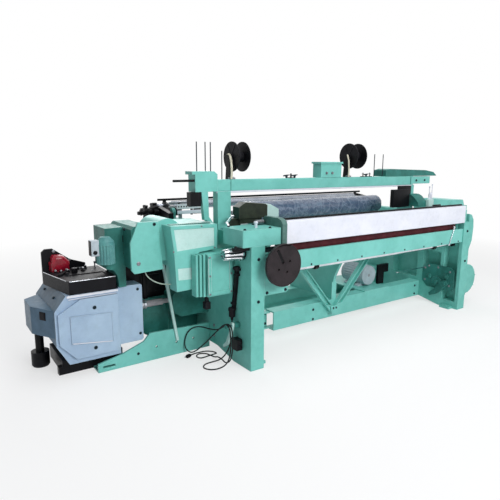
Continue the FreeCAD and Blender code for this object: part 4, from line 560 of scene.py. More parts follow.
@dataclass
class Piece:
    """One piece of the loom: the faces it gets, its finish and the body that it rides on.

    Each shape method adds faces and returns the piece; `done` turns it into an object.
    """
    name: str
    finish: Finish
    body: str = "frame"
    smooth: float = 35.0
    mesh: bmesh.types.BMesh = field(default_factory=bmesh.new)

    ROUND_STEPS = 2
    ROUND_SHAPE = 0.6
    TOOTH = ((0.0, False), (0.22, False), (0.34, True), (0.66, True), (0.78, False))

    def loft(self, rings: list[list[Vector]], closed: bool = False, footed: bool = True) -> "Piece":
        """Skins a row of rings and caps its ends.

        Args:
            rings: Points in metres, as many in each ring.
            closed: Whether the last ring joins the first, as on a hoop.
            footed: Whether the first ring gets a cap too.

        Returns:
            This piece.
        """
        rows = [[self.mesh.verts.new(point) for point in ring] for ring in rings]
        for low, high in zip(rows, rows[1:] + rows[:1] if closed else rows[1:]):
            for step in range(len(low)):
                after = (step + 1) % len(low)
                self.mesh.faces.new((low[step], low[after], high[after], high[step]))
        if footed and not closed:
            self.mesh.faces.new(list(reversed(rows[0])))
        if not closed:
            self.mesh.faces.new(rows[-1])
        return self

    def lathe(self, centre: Point, facing: Axis | Point, profile: list[Flat], sides: int = 32,
              closed: bool = False) -> "Piece":
        """Turns a profile about an axis.

        Args:
            centre: Start of the axis, in loom millimetres.
            facing: Which way the axis points.
            profile: Pairs of distance along the axis and radius, in millimetres.
            sides: Number of facets round.
            closed: Whether the profile runs back to its start, as on a ring.

        Returns:
            This piece.
        """
        turn = seat(centre, facing)
        return self.loft([[turn @ around(radius, step / sides, along) for step in range(sides)]
                          for along, radius in profile], closed)

    def cog(self, centre: Point, facing: Axis, root: float, tip: float, width: float, teeth: int) -> "Piece":
        """Adds a toothed ring.

        Args:
            centre: Middle of its back face, in loom millimetres.
            facing: Way the axis points.
            root: Radius between the teeth.
            tip: Radius over the teeth.
            width: Width of the ring.
            teeth: Number of teeth.

        Returns:
            This piece.
        """
        turn = seat(centre, facing)
        return self.loft([[turn @ around(tip if outside else root, (step + share) / teeth, along)
                           for step in range(teeth) for share, outside in self.TOOTH]
                          for along in (0.0, width)])

    def screw(self, place: Point, facing: Axis, radius: float, head: Head) -> "Piece":
        """Adds one screw head with its washer.

        Args:
            place: Point on the surface, in loom millimetres.
            facing: Way the head looks.
            radius: Radius of the head in millimetres.
            head: Which kind it is.

        Returns:
            This piece.
        """
        sides, height, socket = head.value
        washer = [(0, radius * 1.35), (radius * 0.16, radius * 1.35), (radius * 0.2, radius * 1.25)]
        top = radius * (height + 0.2)
        profile = [(0, radius), (top * 0.82, radius), (top, radius * 0.84)]
        if socket:
            profile += [(top, radius * socket), (top * 0.45, radius * socket * 0.95)]
        return self.lathe(place, facing, washer, 24).lathe(place, facing, profile, sides)

    def slab(self, low: Point, high: Point, bevel: float) -> "Piece":
        """Adds a plate with rounded edges.

        Args:
            low: Its left front lower corner, in loom millimetres.
            high: Its right back upper corner.
            bevel: Width of the rounding in millimetres.

        Returns:
            This piece.
        """
        made = bmesh.ops.create_cube(self.mesh, size=1.0)
        near, far = spot(*low), spot(*high)
        for vert in made["verts"]:
            share = vert.co + Vector((0.5, 0.5, 0.5))
            vert.co = Vector(near[i] + (far[i] - near[i]) * share[i] for i in range(3))
        edges = {edge for vert in made["verts"] for edge in vert.link_edges}
        bmesh.ops.bevel(self.mesh, geom=list(edges), offset=bevel / MM, segments=self.ROUND_STEPS,
                        profile=self.ROUND_SHAPE, affect="EDGES")
        return self

    def slabs(self, boxes: tuple[Box, ...]) -> "Piece":
        """Adds several plates.

        Args:
            boxes: Lower corner, upper corner and rounding of each.

        Returns:
            This piece.
        """
        for low, high, bevel in boxes:
            self.slab(low, high, bevel)
        return self

    def bar(self, points: tuple[Point, ...], width: Point, thick: float) -> "Piece":
        """Sweeps a flat bar through points.

        Args:
            points: Middle line of the bar, in loom millimetres.
            width: The bar's width as a vector in millimetres.
            thick: The bar's thickness in millimetres.

        Returns:
            This piece.
        """
        half = Vector(width) / (2 * MM)
        rings = []
        for index, point in enumerate(points):
            before = spot(*points[max(0, index - 1)])
            after = spot(*points[min(len(points) - 1, index + 1)])
            out = (after - before).cross(half).normalized() * thick / (2 * MM)
            rings.append([spot(*point) + side for side in
                          (half + out, half - out, -half - out, -half + out)])
        return self.loft(rings)

    def pressing(self, outline: tuple[Flat, ...], middle: Flat, layers: tuple[Flat, ...],
                 facing: Axis) -> "Piece":
        """Lofts one outline that shrinks towards its middle from layer to layer.

        Args:
            outline: Corners as (x, z) where it faces the front, and as (y, z) where it faces right.
            middle: Point that the outline shrinks to.
            layers: Pairs of place along the third axis and size of the outline there.
            facing: FRONT or RIGHT.

        Returns:
            This piece.
        """
        rings = []
        for level, size in layers:
            flat = [[core + (place - core) * size for place, core in zip(corner, middle)]
                    for corner in outline]
            rings.append([spot(a, level, z) if facing is Axis.FRONT else spot(level, a, z) for a, z in flat])
        return self.loft(rings)

    def done(self) -> bpy.types.Object:
        """Makes the object from its faces, dresses it and hangs it on its body.

        Returns:
            The object.
        """
        bmesh.ops.recalc_face_normals(self.mesh, faces=self.mesh.faces)
        data = bpy.data.meshes.new(self.name)
        self.mesh.to_mesh(data)
        self.mesh.free()
        made = show(self.name, data)
        data.materials.append(self.finish.build())
        data.shade_smooth()
        data.set_sharp_from_angle(angle=math.radians(self.smooth))
        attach(made, self.body)
        LOG.info("%s: %d faces in %s", self.name, len(data.polygons), self.finish.name)
        return made


# ---------------------------------------------------------------- studio
def to_the_eye(tree: Tree) -> bpy.types.Node:
    """Tells rays that show a thing to the eye from rays that only light it.

    Args:
        tree: The nodes of the floor or the world.

    Returns:
        A node that gives 1 for rays to the eye, straight, mirrored or sent through.
    """
    ray = add(tree, "LightPath")
    direct = add(tree, "Math", {"operation": "MAXIMUM"}, i0=ray.outputs["Is Camera Ray"],
                 i1=ray.outputs["Is Glossy Ray"])
    return add(tree, "Math", {"operation": "MAXIMUM"}, i0=direct, i1=ray.outputs["Is Transmission Ray"])


@dataclass(frozen=True)
class Lamp:
    """Round soft lamp that looks at the loom's middle; places and sizes are metres."""
    name: str
    place: Point
    size: float
    watts: float
    target: Point = (-0.3, -0.2, 0.7)

    def hang(self) -> None:
        """Hangs the lamp."""
        data = bpy.data.lights.new(self.name, "AREA")
        data.shape = "DISK"
        data.size = self.size
        data.energy = self.watts
        lamp = show(self.name, data)
        lamp.location = Vector(self.place)
        lamp.rotation_euler = (Vector(self.target) - lamp.location).to_track_quat("-Z", "Y").to_euler()


@dataclass
class Studio:
    """Camera of the photograph, pale floor, and a large soft key before the loom."""
    focal_px: float = 469.6
    frame_px: float = 500.0
    sensor_mm: float = 36.0
    sight: float = 200.0
    yaw: float = 34.98
    pitch: float = 10.43
    roll: float = 0.27
    eye: Point = (-3.23492, -3.38352, 1.5)
    floor_radius: float = 60.0
    floor_z: float = -0.0006
    fade: Flat = (3.2, 6.5)
    glow: float = 0.62
    fill: float = 0.24
    lamps: tuple[Lamp, ...] = (Lamp("key", (-0.6, -7.2, 4.3), 4.0, 340.0),
                               Lamp("top", (-0.6, -0.8, 6.0), 5.0, 165.0),
                               Lamp("back", (1.5, 7.0, 4.5), 5.0, 180.0))

    def camera(self) -> None:
        """Places the camera worked out from the loom's own parallel edges."""
        yaw, pitch, roll = (math.radians(angle) for angle in (self.yaw, self.pitch, self.roll))
        ahead = Vector((math.sin(yaw) * math.cos(pitch), math.cos(yaw) * math.cos(pitch), -math.sin(pitch)))
        level = Vector((math.cos(yaw), -math.sin(yaw), 0))
        lift = level.cross(ahead)
        right = math.cos(roll) * level + math.sin(roll) * lift
        up = -math.sin(roll) * level + math.cos(roll) * lift
        data = bpy.data.cameras.new("photo_camera")
        data.sensor_width = self.sensor_mm
        data.lens = self.sensor_mm * self.focal_px / self.frame_px
        data.clip_end = self.sight
        matrix = Matrix((right, up, -ahead)).transposed().to_4x4()
        matrix.translation = Vector(self.eye)
        camera = show("photo_camera", data)
        camera.matrix_world = matrix
        bpy.context.scene.camera = camera

    def floor(self) -> None:
        """Lays a white floor that keeps the loom's shadow and fades into the background."""
        mesh = bmesh.new()
        bmesh.ops.create_circle(mesh, cap_ends=True, segments=96, radius=self.floor_radius)
        data = bpy.data.meshes.new("studio_floor")
        mesh.to_mesh(data)
        mesh.free()
        floor = show("studio_floor", data)
        floor.location.z = self.floor_z
        material = bpy.data.materials.new("studio_floor_white")
        tree = bare_tree(material)
        coords = add(tree, "TexCoord").outputs["Object"]
        away = add(tree, "VectorMath", {"operation": "LENGTH"}, i0=coords)
        near, far = self.fade
        fade = add(tree, "MapRange", Value=away, i1=near, i2=far, i3=self.glow, i4=1.0)
        matt = add(tree, "BsdfDiffuse", Color=linear("#FBFBFC"))
        white = add(tree, "Emission", Color=linear("#FFFFFF"), Strength=1.0)
        share = add(tree, "Math", {"operation": "MULTIPLY"}, i0=fade, i1=to_the_eye(tree))
        add(tree, "OutputMaterial", Surface=add(tree, "MixShader", i0=share, i1=matt, i2=white))
        data.materials.append(material)
        floor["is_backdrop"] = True

    def world(self) -> None:
        """Fills the shadows, and shows plain white where nothing stands."""
        world = bpy.data.worlds.new("studio_world")
        bpy.context.scene.world = world
        tree = bare_tree(world)
        lit = add(tree, "Background", Color=linear("#E9EEF2"), Strength=self.fill)
        white = add(tree, "Background", Color=linear("#FFFFFF"), Strength=1.0)
        add(tree, "OutputWorld", Surface=add(tree, "MixShader", i0=to_the_eye(tree), i1=lit, i2=white))

    def build(self) -> None:
        """Sets up everything that isn't the loom."""
        bpy.context.scene.view_settings.view_transform = "Standard"
        self.camera()
        self.floor()
        self.world()
        for lamp in self.lamps:
            lamp.hang()


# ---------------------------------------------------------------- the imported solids
@dataclass
class Castings:
    """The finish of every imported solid, and the parts of some that have another one."""
    coats: tuple[tuple[Finish, str], ...] = (
        (MINT, "low_front_beam cross_beams centre_brace breast_beam headblocks beam_posts top_beam"),
        (MINT, "creel_boxes left_rapier_housing belt_guard base_rail right_rapier_housing"),
        (MINT_CAST, "left_side_frame right_side_frame board_caps wheel_bracket sley_beam"),
        (MINT_CAST, "rest_pedestals take_up_gearbox outer_motor bearing_blocks"),
        (BLACK_PAINT, "back_rest_arms dobby_base board_rail black_brackets let_off_head"),
        (BLACK_PAINT, "creel_stands crank_handle"),
        (BLACK_PLASTIC, "dobby_top pattern_knob cable_conduit left_reel right_reel cable_plug"),
        # The creel board is mint like the beam; the deep green on it is painted shade.
        (DEEP_GREEN, "creel_board pedal_box drive_box right_inner_cover"),
        (PALE_PANEL, "gripper_guides foot_pedal"), (BRIGHT_STEEL, "starting_rail gripper_lever"),
        (MOTOR_BLUE, "small_motor"), (GREY_MOTOR, "main_motor"), (BLUE_GREY_SHADED, "dobby_body"),
        (BLUE_GREY, "dobby_cover"), (RED_PLASTIC, "dobby_red_cover"), (SHAFT_GREY, "dobby_shaft"),
        (WHITE_BOARD, "front_board"), (BLACK_BOLT, "creel_pins"), (DARK_IRON, "hand_wheel"),
        (MAROON, "take_up_roller"), (FLUTED_STEEL, "take_up_knob"), (ROLLER_STEEL, "back_rest_roller"),
        (PLAIN_STEEL, "rocking_shaft"), (REED_STEEL, "reed"), (FILM, "cloth_roller"),
        (OLIVE, "gripper_cover"), (RUBBER, "power_cable"), (NYLON, "oil_line"))
    patches: tuple[tuple[str, Finish, Point, Point], ...] = (
        # Pale patches on the housing's front are painted reflection on its mint paint.
        ("left_rapier_housing", PALE_PANEL, (-450, 302, 890), (-110, 304, 1050)),
        ("left_rapier_housing", PALE_PANEL, (-425, 302, 665), (-255, 304, 775)),
        # The dobby shell's front and top keep the lighter blue grey; its sides take the painted-shade copy.
        ("dobby_body", BLUE_GREY, (-1180, 619, 100), (-560, 621, 620)),
        ("dobby_body", BLUE_GREY, (-1200, 618, 600), (-560, 1300, 620)),
        ("gripper_guides", PLAIN_STEEL, (-70, 1100, 1000), (190, 1300, 1200)),
        ("rocking_shaft", MINT_CAST, (390, 300, 700), (2460, 500, 905)),
        ("right_inner_cover", BRIGHT_STEEL, (2150, 405, 370), (2600, 440, 400)),
        ("headblocks", WHITE_BOARD, (90, 80, 1046), (140, 140, 1100)),
        # Only the left end cap gets the darker grey green: painted shade.
        ("board_caps", CAP_SHADE_GREEN, (260, -20, 915), (330, 275, 1115)),
        ("base_rail", PALE_PANEL, (-930, 580, 300), (0, 730, 770)),
        ("small_motor", GREY_MOTOR, (-960, 495, 875), (-905, 565, 990)),
        ("pedal_box", BLACK_PAINT, (-47, 105, 125), (-1, 195, 220)),
        ("take_up_roller", BLACK_BOLT, (-20, 80, 845), (330, 140, 895)))

    def _paint(self, node: bpy.types.Object, finish: Finish, low: Point, high: Point) -> None:
        """Gives a finish to the faces whose middle lies between two corners.

        Args:
            node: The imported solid.
            finish: What those faces get.
            low: The left front lower corner, in loom millimetres.
            high: The right back upper corner.
        """
        near, far = spot(*low), spot(*high)
        node.data.materials.append(finish.build())
        index = len(node.data.materials) - 1
        for polygon in node.data.polygons:
            if all(near[i] <= polygon.center[i] <= far[i] for i in range(3)):
                polygon.material_index = index

    def build(self, nodes: dict[str, bpy.types.Object]) -> None:
        """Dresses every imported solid.

        Args:
            nodes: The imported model's objects by name.
        """
        finishes = {name: finish for finish, names in self.coats for name in names.split()}
        for name, node in nodes.items():
            material = finishes[name].build()
            for slot in node.material_slots:
                slot.material = material
            if not node.material_slots:
                node.data.materials.append(material)
        for name, finish, low, high in self.patches:
            self._paint(nodes[name], finish, low, high)
        LOG.info("packed solids: %d dressed, %d patches", len(nodes), len(self.patches))


# ---------------------------------------------------------------- cable and pipe
def soft_line(name: str, points: list[Point], radius: float, finish: Finish) -> bpy.types.Object:
    """Makes a round cable or pipe on one smooth line.

    Args:
        name: The piece's name.
        points: Control points of the line, in metres.
        radius: Half its thickness in metres.
        finish: What its outside is made of.

    Returns:
        The curve object.
    """
    curve = bpy.data.curves.new(name, "CURVE")
    curve.dimensions = "3D"
    curve.bevel_depth = radius
    curve.bevel_resolution = 4
    curve.use_fill_caps = True
    curve.resolution_u = 10
    line = curve.splines.new("NURBS")
    line.points.add(len(points) - 1)
    for target, point in zip(line.points, points):
        target.co = (*point, 1.0)
    line.order_u = 3
    line.use_endpoint_u = True
    curve.materials.append(finish.build())
    piece = show(name, curve)
    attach(piece, "frame")
    LOG.info("%s: %d control points in %s", name, len(points), finish.name)
    return piece


@dataclass
class PowerCable:
    """Mains cable of 10 mm: down the frame, twice over the pedal's pin, and loops on the floor."""
    radius: float = 5.0
    length: float = 3.542
    gland_at: Point = (-28, 209, 373)
    gland_ribs: int = 5
    plug_at: Point = (-230, 490, 15)
    plug_way: Point = (-38, -10, 0)
    plug_length: float = 48.0
    grip_ribs: int = 4
    pin_half_gap: float = 6.0
    route: tuple[Point, ...] = (
        (-28, 209, 344), (-28, 212, 262), (-31, 224, 170), (-40, 248, 84), (-84, 276, 18),
        (-148, 300, 5), (-216, 298, 5), (-262, 250, 5), (-240, 190, 5), (-180, 158, 8),
        (-126, 134, 36), (-105, 116, 104), (-102, 108, 216), (-103, 124, 331.6), (-103, 194, 331.6),
        (-112, 256, 276), (-132, 334, 196), (-156, 410, 116), (-184, 478, 46), (-212, 538, 8),
        (-238, 582, 44), (-234, 591, 112), (-206, 588, 174), (-150, 583, 204), (-102, 536, 208),
        (-90, 452, 214), (-88, 340, 236), (-87, 250, 282), (-88, 194, 331.6), (-88, 124, 331.6),
        (-85, 108, 250), (-84, 112, 140), (-88, 140, 52), (-95, 196, 18), (-98, 244, 36),
        (-98, 306, 34), (-95, 352, 12), (-96, 416, 5), (-110, 474, 5), (-160, 500, 5),
        (-206, 462, 5), (-196, 400, 8), (-140, 378, 24), (-76, 384, 24), (-36, 420, 8),
        (-42, 476, 5), (-88, 516, 5), (-146, 512, 8), (-192, 500, 15), (-230, 490, 15))

    def gland(self) -> None:
        """Puts the ribbed rubber sleeve on the connector's nose."""
        profile = [(0, 13.6)]
        for step in range(self.gland_ribs):
            start = 2 + step * 5.2
            outer = 13.2 - step * 1.05
            profile += [(start, outer), (start + 3.2, outer), (start + 3.4, outer - 1.6)]
        profile.append((28.5, 7.4))
        Piece("cable_strain_relief", RUBBER).lathe(self.gland_at, Axis.DOWN, profile, 24).done()

    def plug(self) -> bpy.types.Object:
        """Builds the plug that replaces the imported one: ribbed grip, body, and two pins.

        Returns:
            The plug.
        """
        way = Vector(self.plug_way).normalized()
        profile = [(0, 6.4)]
        for step in range(self.grip_ribs):
            start = 2 + step * 3.4
            wide = step * 1.6
            profile += [(start, 7.4 + wide), (start + 2, 7.8 + wide), (start + 2.2, 6.6 + wide)]
        profile += [(17, 14.2), (20, 15), (42, 15), (44, 14), (46, 14), (self.plug_length, 12.5)]
        plug = Piece("cable_plug_body", BLACK_PLASTIC).lathe(self.plug_at, tuple(way), profile, 28)
        side = way.cross(Vector(Axis.UP.value))
        for sense in (-self.pin_half_gap, self.pin_half_gap):
            root = Vector(self.plug_at) + way * self.plug_length + side * sense
            plug.lathe(tuple(root), tuple(way), [(0, 2.4), (16.5, 2.4), (18, 1.6)], 14)
        return plug.done()

    def build(self) -> None:
        points = [tuple(spot(*point)) for point in self.route]
        cable = soft_line("power_cable_line", points, self.radius / MM, RUBBER)
        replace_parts(cable, "power_cable")
        plug = self.plug()
        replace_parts(plug, "cable_plug")
        self.gland()


@dataclass
class OilPipe:
    """Nylon pipe of 8 mm that sags from the drive casing to the housing's chin."""
    radius: float = 4.0
    length: float = 0.254
    route: tuple[Point, ...] = ((-600, 470, 770), (-599, 466, 735), (-584, 452, 700), (-552, 430, 670),
                                (-508, 408, 650), (-464, 394, 642), (-434, 390, 640))

    def build(self) -> None:
        """Lays the pipe and the union at its upper end."""
        points = [tuple(spot(*point)) for point in self.route]
        pipe = soft_line("oil_pipe_line", points, self.radius / MM, NYLON)
        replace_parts(pipe, "oil_line")
        nut = [(0, 8), (7, 8), (8, 6.4), (15, 6), (15, 4.4)]
        Piece("oil_pipe_union", ZINC_BOLT).lathe(self.route[0], Axis.DOWN, nut, 6).done()


# ---------------------------------------------------------------- the wrapped roll
@dataclass
class WrappedRoll:
    """Cloth roll wound over with stretch film: spiral creases, soft dents and gathered ends."""
    left: float = 450.0
    right: float = 2310.0
    axis_y: float = 860.0
    axis_z: float = 1070.0
    radius: float = 94.0
    tube_radius: float = 30.0
    step: float = 13.0
    sides: int = 112
    gather: float = 34.0
    gather_steps: tuple[float, ...] = (0.0, 3.0, 8.0, 15.0, 24.0)

    def _radius(self, along: float, angle: float) -> float:
        """Works out the radius of the crumpled film.

        Args:
            along: Distance from the roll's left end.
            angle: Angle round the roll in radians.

        Returns:
            The radius in millimetres.
        """
        near_end = min(along, self.right - self.left - along)
        base = self.radius
        if near_end < self.gather:
            bulge = math.sqrt(max(0.0, 1 - (1 - near_end / self.gather) ** 2))
            base = self.tube_radius + (self.radius - self.tube_radius) * bulge
        spiral = Vector((along / 62 + angle * 1.1, math.cos(angle) * 1.6, math.sin(angle) * 1.6))
        ridge = 1 - abs(noise.noise(spiral * 1.4)) * 2.4
        crumple = noise.noise(Vector((along / 21, math.cos(angle) * 4.2, math.sin(angle) * 4.2)))
        dent = noise.noise(Vector((along / 210, math.cos(angle) * 1.2, math.sin(angle) * 1.2)))
        return base + max(0.0, ridge) * 3.2 - 2.6 + crumple * 2.4 + dent * 2.2

    def _ring(self, along: float) -> list[Vector]:
        """Works out one ring of the crumpled film.

        Args:
            along: Distance from the roll's left end.

        Returns:
            The ring's points in metres.
        """
        ring = []
        for step in range(self.sides):
            angle = FULL_TURN * step / self.sides
            reach = self._radius(along, angle)
            ring.append(spot(self.left + along, self.axis_y + reach * math.cos(angle),
                             self.axis_z + reach * math.sin(angle)))
        return ring

    def build(self) -> None:
        """Builds the roll and the ends of its tube."""
        length = self.right - self.left
        stations = list(self.gather_steps)
        along = self.gather
        while along < length - self.gather:
            stations.append(along)
            along += self.step
        stations += [length - near for near in (self.gather, *reversed(self.gather_steps))]
        roll = Piece("film_wrapped_roll", FILM, smooth=60).loft([self._ring(along) for along in stations])
        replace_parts(roll.done(), "cloth_roller")
        tube = Piece("roll_tube_ends", PLAIN_STEEL)
        for start, shown, facing in ((self.left - 60, 58, Axis.RIGHT), (self.right + 30, 28, Axis.LEFT)):
            tube.lathe((start, self.axis_y, self.axis_z), facing,
                       [(0, 18), (2, 20), (shown, 20), (shown + 2, 30), (shown + 8, 34)])
        tube.done()


# ---------------------------------------------------------------- fasteners
@dataclass(frozen=True)
class Screws:
    """Like screws in several places."""
    facing: Axis
    head: Head
    radius: float
    places: tuple[Point, ...]


@dataclass(frozen=True)
class Fasteners:
    """All the screws of one finish on one part of the frame."""
    name: str
    finish: Finish
    sets: tuple[Screws, ...]

    def build(self) -> None:
        """Builds all the heads as one piece."""
        piece = Piece(self.name, self.finish, smooth=30)
        for screws in self.sets:
            for place in screws.places:
                piece.screw(place, screws.facing, screws.radius, screws.head)
        piece.done()


FASTENERS = (
    Fasteners("frame_bolts", BLACK_BOLT, (
        Screws(Axis.FRONT, Head.SOCKET, 9, grid(64, 0, (520, 832)) + grid(2708, 0, (517, 829))),
        Screws(Axis.FRONT, Head.HEX, 9, grid(1047, 480, (68, 160)) + grid(560, 580, (92, 184))
               + grid(2570, 480, (78, 170))),
        Screws(Axis.FRONT, Head.HEX, 8, grid((1298, 1262), 430, 150)),
        Screws(Axis.FRONT, Head.DOME, 6, grid(tuple(range(577, 2573, 285)), 10, 735)),
        Screws(Axis.FRONT, Head.HEX, 9, ((2421, 444, 1335), (2571, 450, 1335))
               + grid((2795, 3135), 340, 680) + grid((2795, 3095), 340, 1010)),
        Screws(Axis.FRONT, Head.SOCKET, 9, grid((140, 312), 0, (576, 826))),
        Screws(Axis.UP, Head.SOCKET, 9, grid((-36, 184), (30, 240), 1045)))),
    Fasteners("outer_face_bolts", ZINC_BOLT, (
        Screws(Axis.LEFT, Head.HEX, 10, grid(0, (520, 1080), (120, 206)) + grid(0, (820, 1000, 1180), 900)),
        Screws(Axis.RIGHT, Head.HEX, 10, grid(2760, (520, 1060), (120, 206)) + grid(2760, 840, 900)))),
    Fasteners("dobby_cover_bolts", BLACK_BOLT, (
        Screws(Axis.FRONT, Head.SOCKET, 10, ((-928, 598, 498), (-934, 598, 201))),
        Screws(Axis.FRONT, Head.SOCKET, 8, ((-599, 620, 577), (-589, 620, 231))),
        Screws(Axis.SLOPE_LEFT, Head.SOCKET, 9, grid(-1150, (800, 1090), 555)),
        Screws(Axis.RIGHT, Head.SOCKET, 8, grid(-565, (780, 1040), 300)))),
    Fasteners("guard_screws", ZINC_BOLT, (
        Screws(Axis.FRONT, Head.DOME, 11, ((-661, 420, 812),)),
        Screws(Axis.FRONT, Head.DOME, 5, ((-226, 300, 1058), *grid((-120, -450), 300, 892))))),
    Fasteners("guard_dark_screws", BLACK_BOLT, (
        Screws(Axis.FRONT, Head.SOCKET, 9, ((-536, 420, 1080),)),
        Screws(Axis.LEFT, Head.SOCKET, 9, ((-700, 560, 1040), *grid(-700, 611, (920, 860)))),
        Screws(Axis.FRONT, Head.HEX, 8, ((-620, 600, 79),)))),
    Fasteners("gearbox_cover_screws", ZINC_BOLT, (
        Screws(Axis.FRONT, Head.SOCKET, 6, grid((-218, -38), 200, (572, 707, 842))),)),
    Fasteners("control_box_screws", ZINC_BOLT, (
        Screws(Axis.FRONT, Head.DOME, 9, ((-1077, 1050, 846),)),
        Screws(Axis.FRONT, Head.DOME, 8, ((-968, 1050, 768),)),
        Screws(Axis.UP, Head.DOME, 8, ((-900, 1030, 700),)),
        Screws(Axis.UP, Head.DOME, 7, ((-850, 880, 700),)))),
    Fasteners("inner_cover_bolts", ZINC_BOLT, (
        Screws(Axis.LEFT, Head.HEX, 9, grid(2636, 110, (235, 385)) + grid(2636, 405, (250, 380))
               + grid(2636, (250, 360), 410)),)),
)


# ---------------------------------------------------------------- trim
@dataclass
class DobbyTrim:
    """Cover bead, slanted window, controls and red guard of the dobby."""
    cover_y: float = 594.0
    top_z: float = 700.0
    bead: tuple[Flat, ...] = ((-807, 440), (-1095, 458), (-1095, 262), (-807, 224))
    bead_wide: float = 6.0
    window: Point = (-1245, 744, 452)
    window_steps: tuple[tuple[float, Flat], ...] = ((30, (-3, 1)), (22, (1, 7)))
    buttons: tuple[tuple[float, float, float, float], ...] = (
        (-1020, 905, 16, 22), (-962, 945, 13, 26), (-930, 985, 12, 18), (-905, 920, 15, 12),
        (-870, 985, 10, 24), (-1040, 850, 12, 14))
    comb_teeth: int = 9
    stems: tuple[Point, ...] = ((-962, 945, 9), (-905, 920, 10), (-1020, 905, 9), (-870, 985, 7))
    guard_outline: tuple[Flat, ...] = (
        (-1104, 700), (-1110, 745), (-1106, 806), (-1092, 822), (-1040, 820), (-1020, 812), (-984, 772),
        (-978, 752), (-990, 712), (-1000, 700))
    guard_middle: Flat = (-1045, 758)
    guard_half: float = 60.0
    guard_insets: tuple[Flat, ...] = ((1049, 0), (1000, 0), (984, 4), (975, 14), (972, 26))

    def panel(self) -> None:
        """Frames the raised square of the front cover with a folded bead, and lays white strips of painted
        highlight on the panel's lower edge and the cover's top edge.
        """
        bead = Piece("cover_panel_bead", BLUE_GREY)
        y = self.cover_y - 1.4
        for (x0, z0), (x1, z1) in zip(self.bead, self.bead[1:] + self.bead[:1]):
            width = (self.bead_wide, 0, 0) if x0 == x1 else (0, 0, self.bead_wide)
            bead.bar(((x0, y, z0), (x1, y, z1)), width, 3.4)
        bead.done()
        # White strips on the panel's lower edge and along the cover's top edge are painted highlight.
        highlight_strips = Piece("cover_painted_highlights", WHITE_BOARD)
        highlight_strips.bar(((-1088, self.cover_y - 3, 263), (-814, self.cover_y - 3, 227)), (0, 0, 7), 3)
        highlight_strips.slab((-1108, 610, 586), (-750, 622, 602), 3)
        highlight_strips.slab((-1098, 606, 574), (-762, 621, 578), 1)
        highlight_strips.done()

    def inset(self) -> None:
        """Sets the dark square window in the slanted side."""
        out = Vector(Axis.SLANT_FRONT.value)
        side = Vector((out.y, -out.x, 0))
        window = Piece("side_window", BLACK_PLASTIC)
        up = Vector(Axis.UP.value)
        centre = Vector(self.window)
        for half, levels in self.window_steps:
            corners = [(side * a + up * b) * half for a, b in ((-1, -1), (1, -1), (1, 1), (-1, 1))]
            window.loft([[spot(*(centre + out * level + corner)) for corner in corners]
                         for level in levels], footed=False)
        window.done()

    def controls(self) -> None:
        """Puts buttons and a cable comb on the black control box, and lays bright steel strips on its top
        edges as painted highlight.
        """
        black = Piece("control_buttons", BLACK_PLASTIC)
        for x, y, radius, tall in self.buttons:
            shape = [(0, radius + 3), (4, radius + 3), (5, radius), (tall - 3, radius), (tall, radius - 3)]
            black.lathe((x, y, self.top_z), Axis.UP, shape, 24)
        for step in range(self.comb_teeth):
            x, y = -1110 + step * 8, 820 + step * 12
            black.slab((x, y, self.top_z), (x + 30, y + 7, self.top_z + 16), 1.5)
        black.done()
        # Bright steel strips on the box's top edges are painted highlight.
        edge = Piece("control_box_edge_highlight", BRIGHT_STEEL)
        for points in (((-1080, 624.5, 697), (-757, 624.5, 697)), ((-1084, 627, 697), (-1162, 1040, 697))):
            edge.bar(points, (0, 0, 5), 3)
        edge.done()

    def guard(self) -> None:
        """Moulds the red guard that leans on the back plate, over the plain red cover."""
        layers = tuple((y, 1 - inset / self.guard_half) for y, inset in self.guard_insets)
        guard = Piece("red_guard", RED_PLASTIC, smooth=60)
        guard.pressing(self.guard_outline, self.guard_middle, layers, Axis.FRONT).done()
        plugs = Piece("guard_plugs", ZINC_BOLT)
        for x, z in ((-1090, 712), (-1052, 706), (-1012, 712)):
            plugs.lathe((x, 976, z), Axis.FRONT, [(0, 9), (10, 9), (12, 7), (22, 7), (24, 4)], 18)
        plugs.done()

    def post(self) -> None:
        """Puts steel stems in the buttons and stands the small post on the box."""
        post = Piece("control_box_post", ZINC_BOLT)
        for x, y, radius in self.stems:
            post.lathe((x, y, self.top_z + 10), Axis.UP, [(0, radius), (15, radius), (18, radius - 3)], 20)
        post.lathe((-800, 975, self.top_z), Axis.UP,
                   [(0, 9), (5, 9), (6, 5), (34, 5), (40, 8), (50, 8), (54, 5)], 20)
        post.done()

    def build(self) -> None:
        """Builds all of it."""
        self.panel()
        self.inset()
        self.controls()
        self.guard()
        self.post()


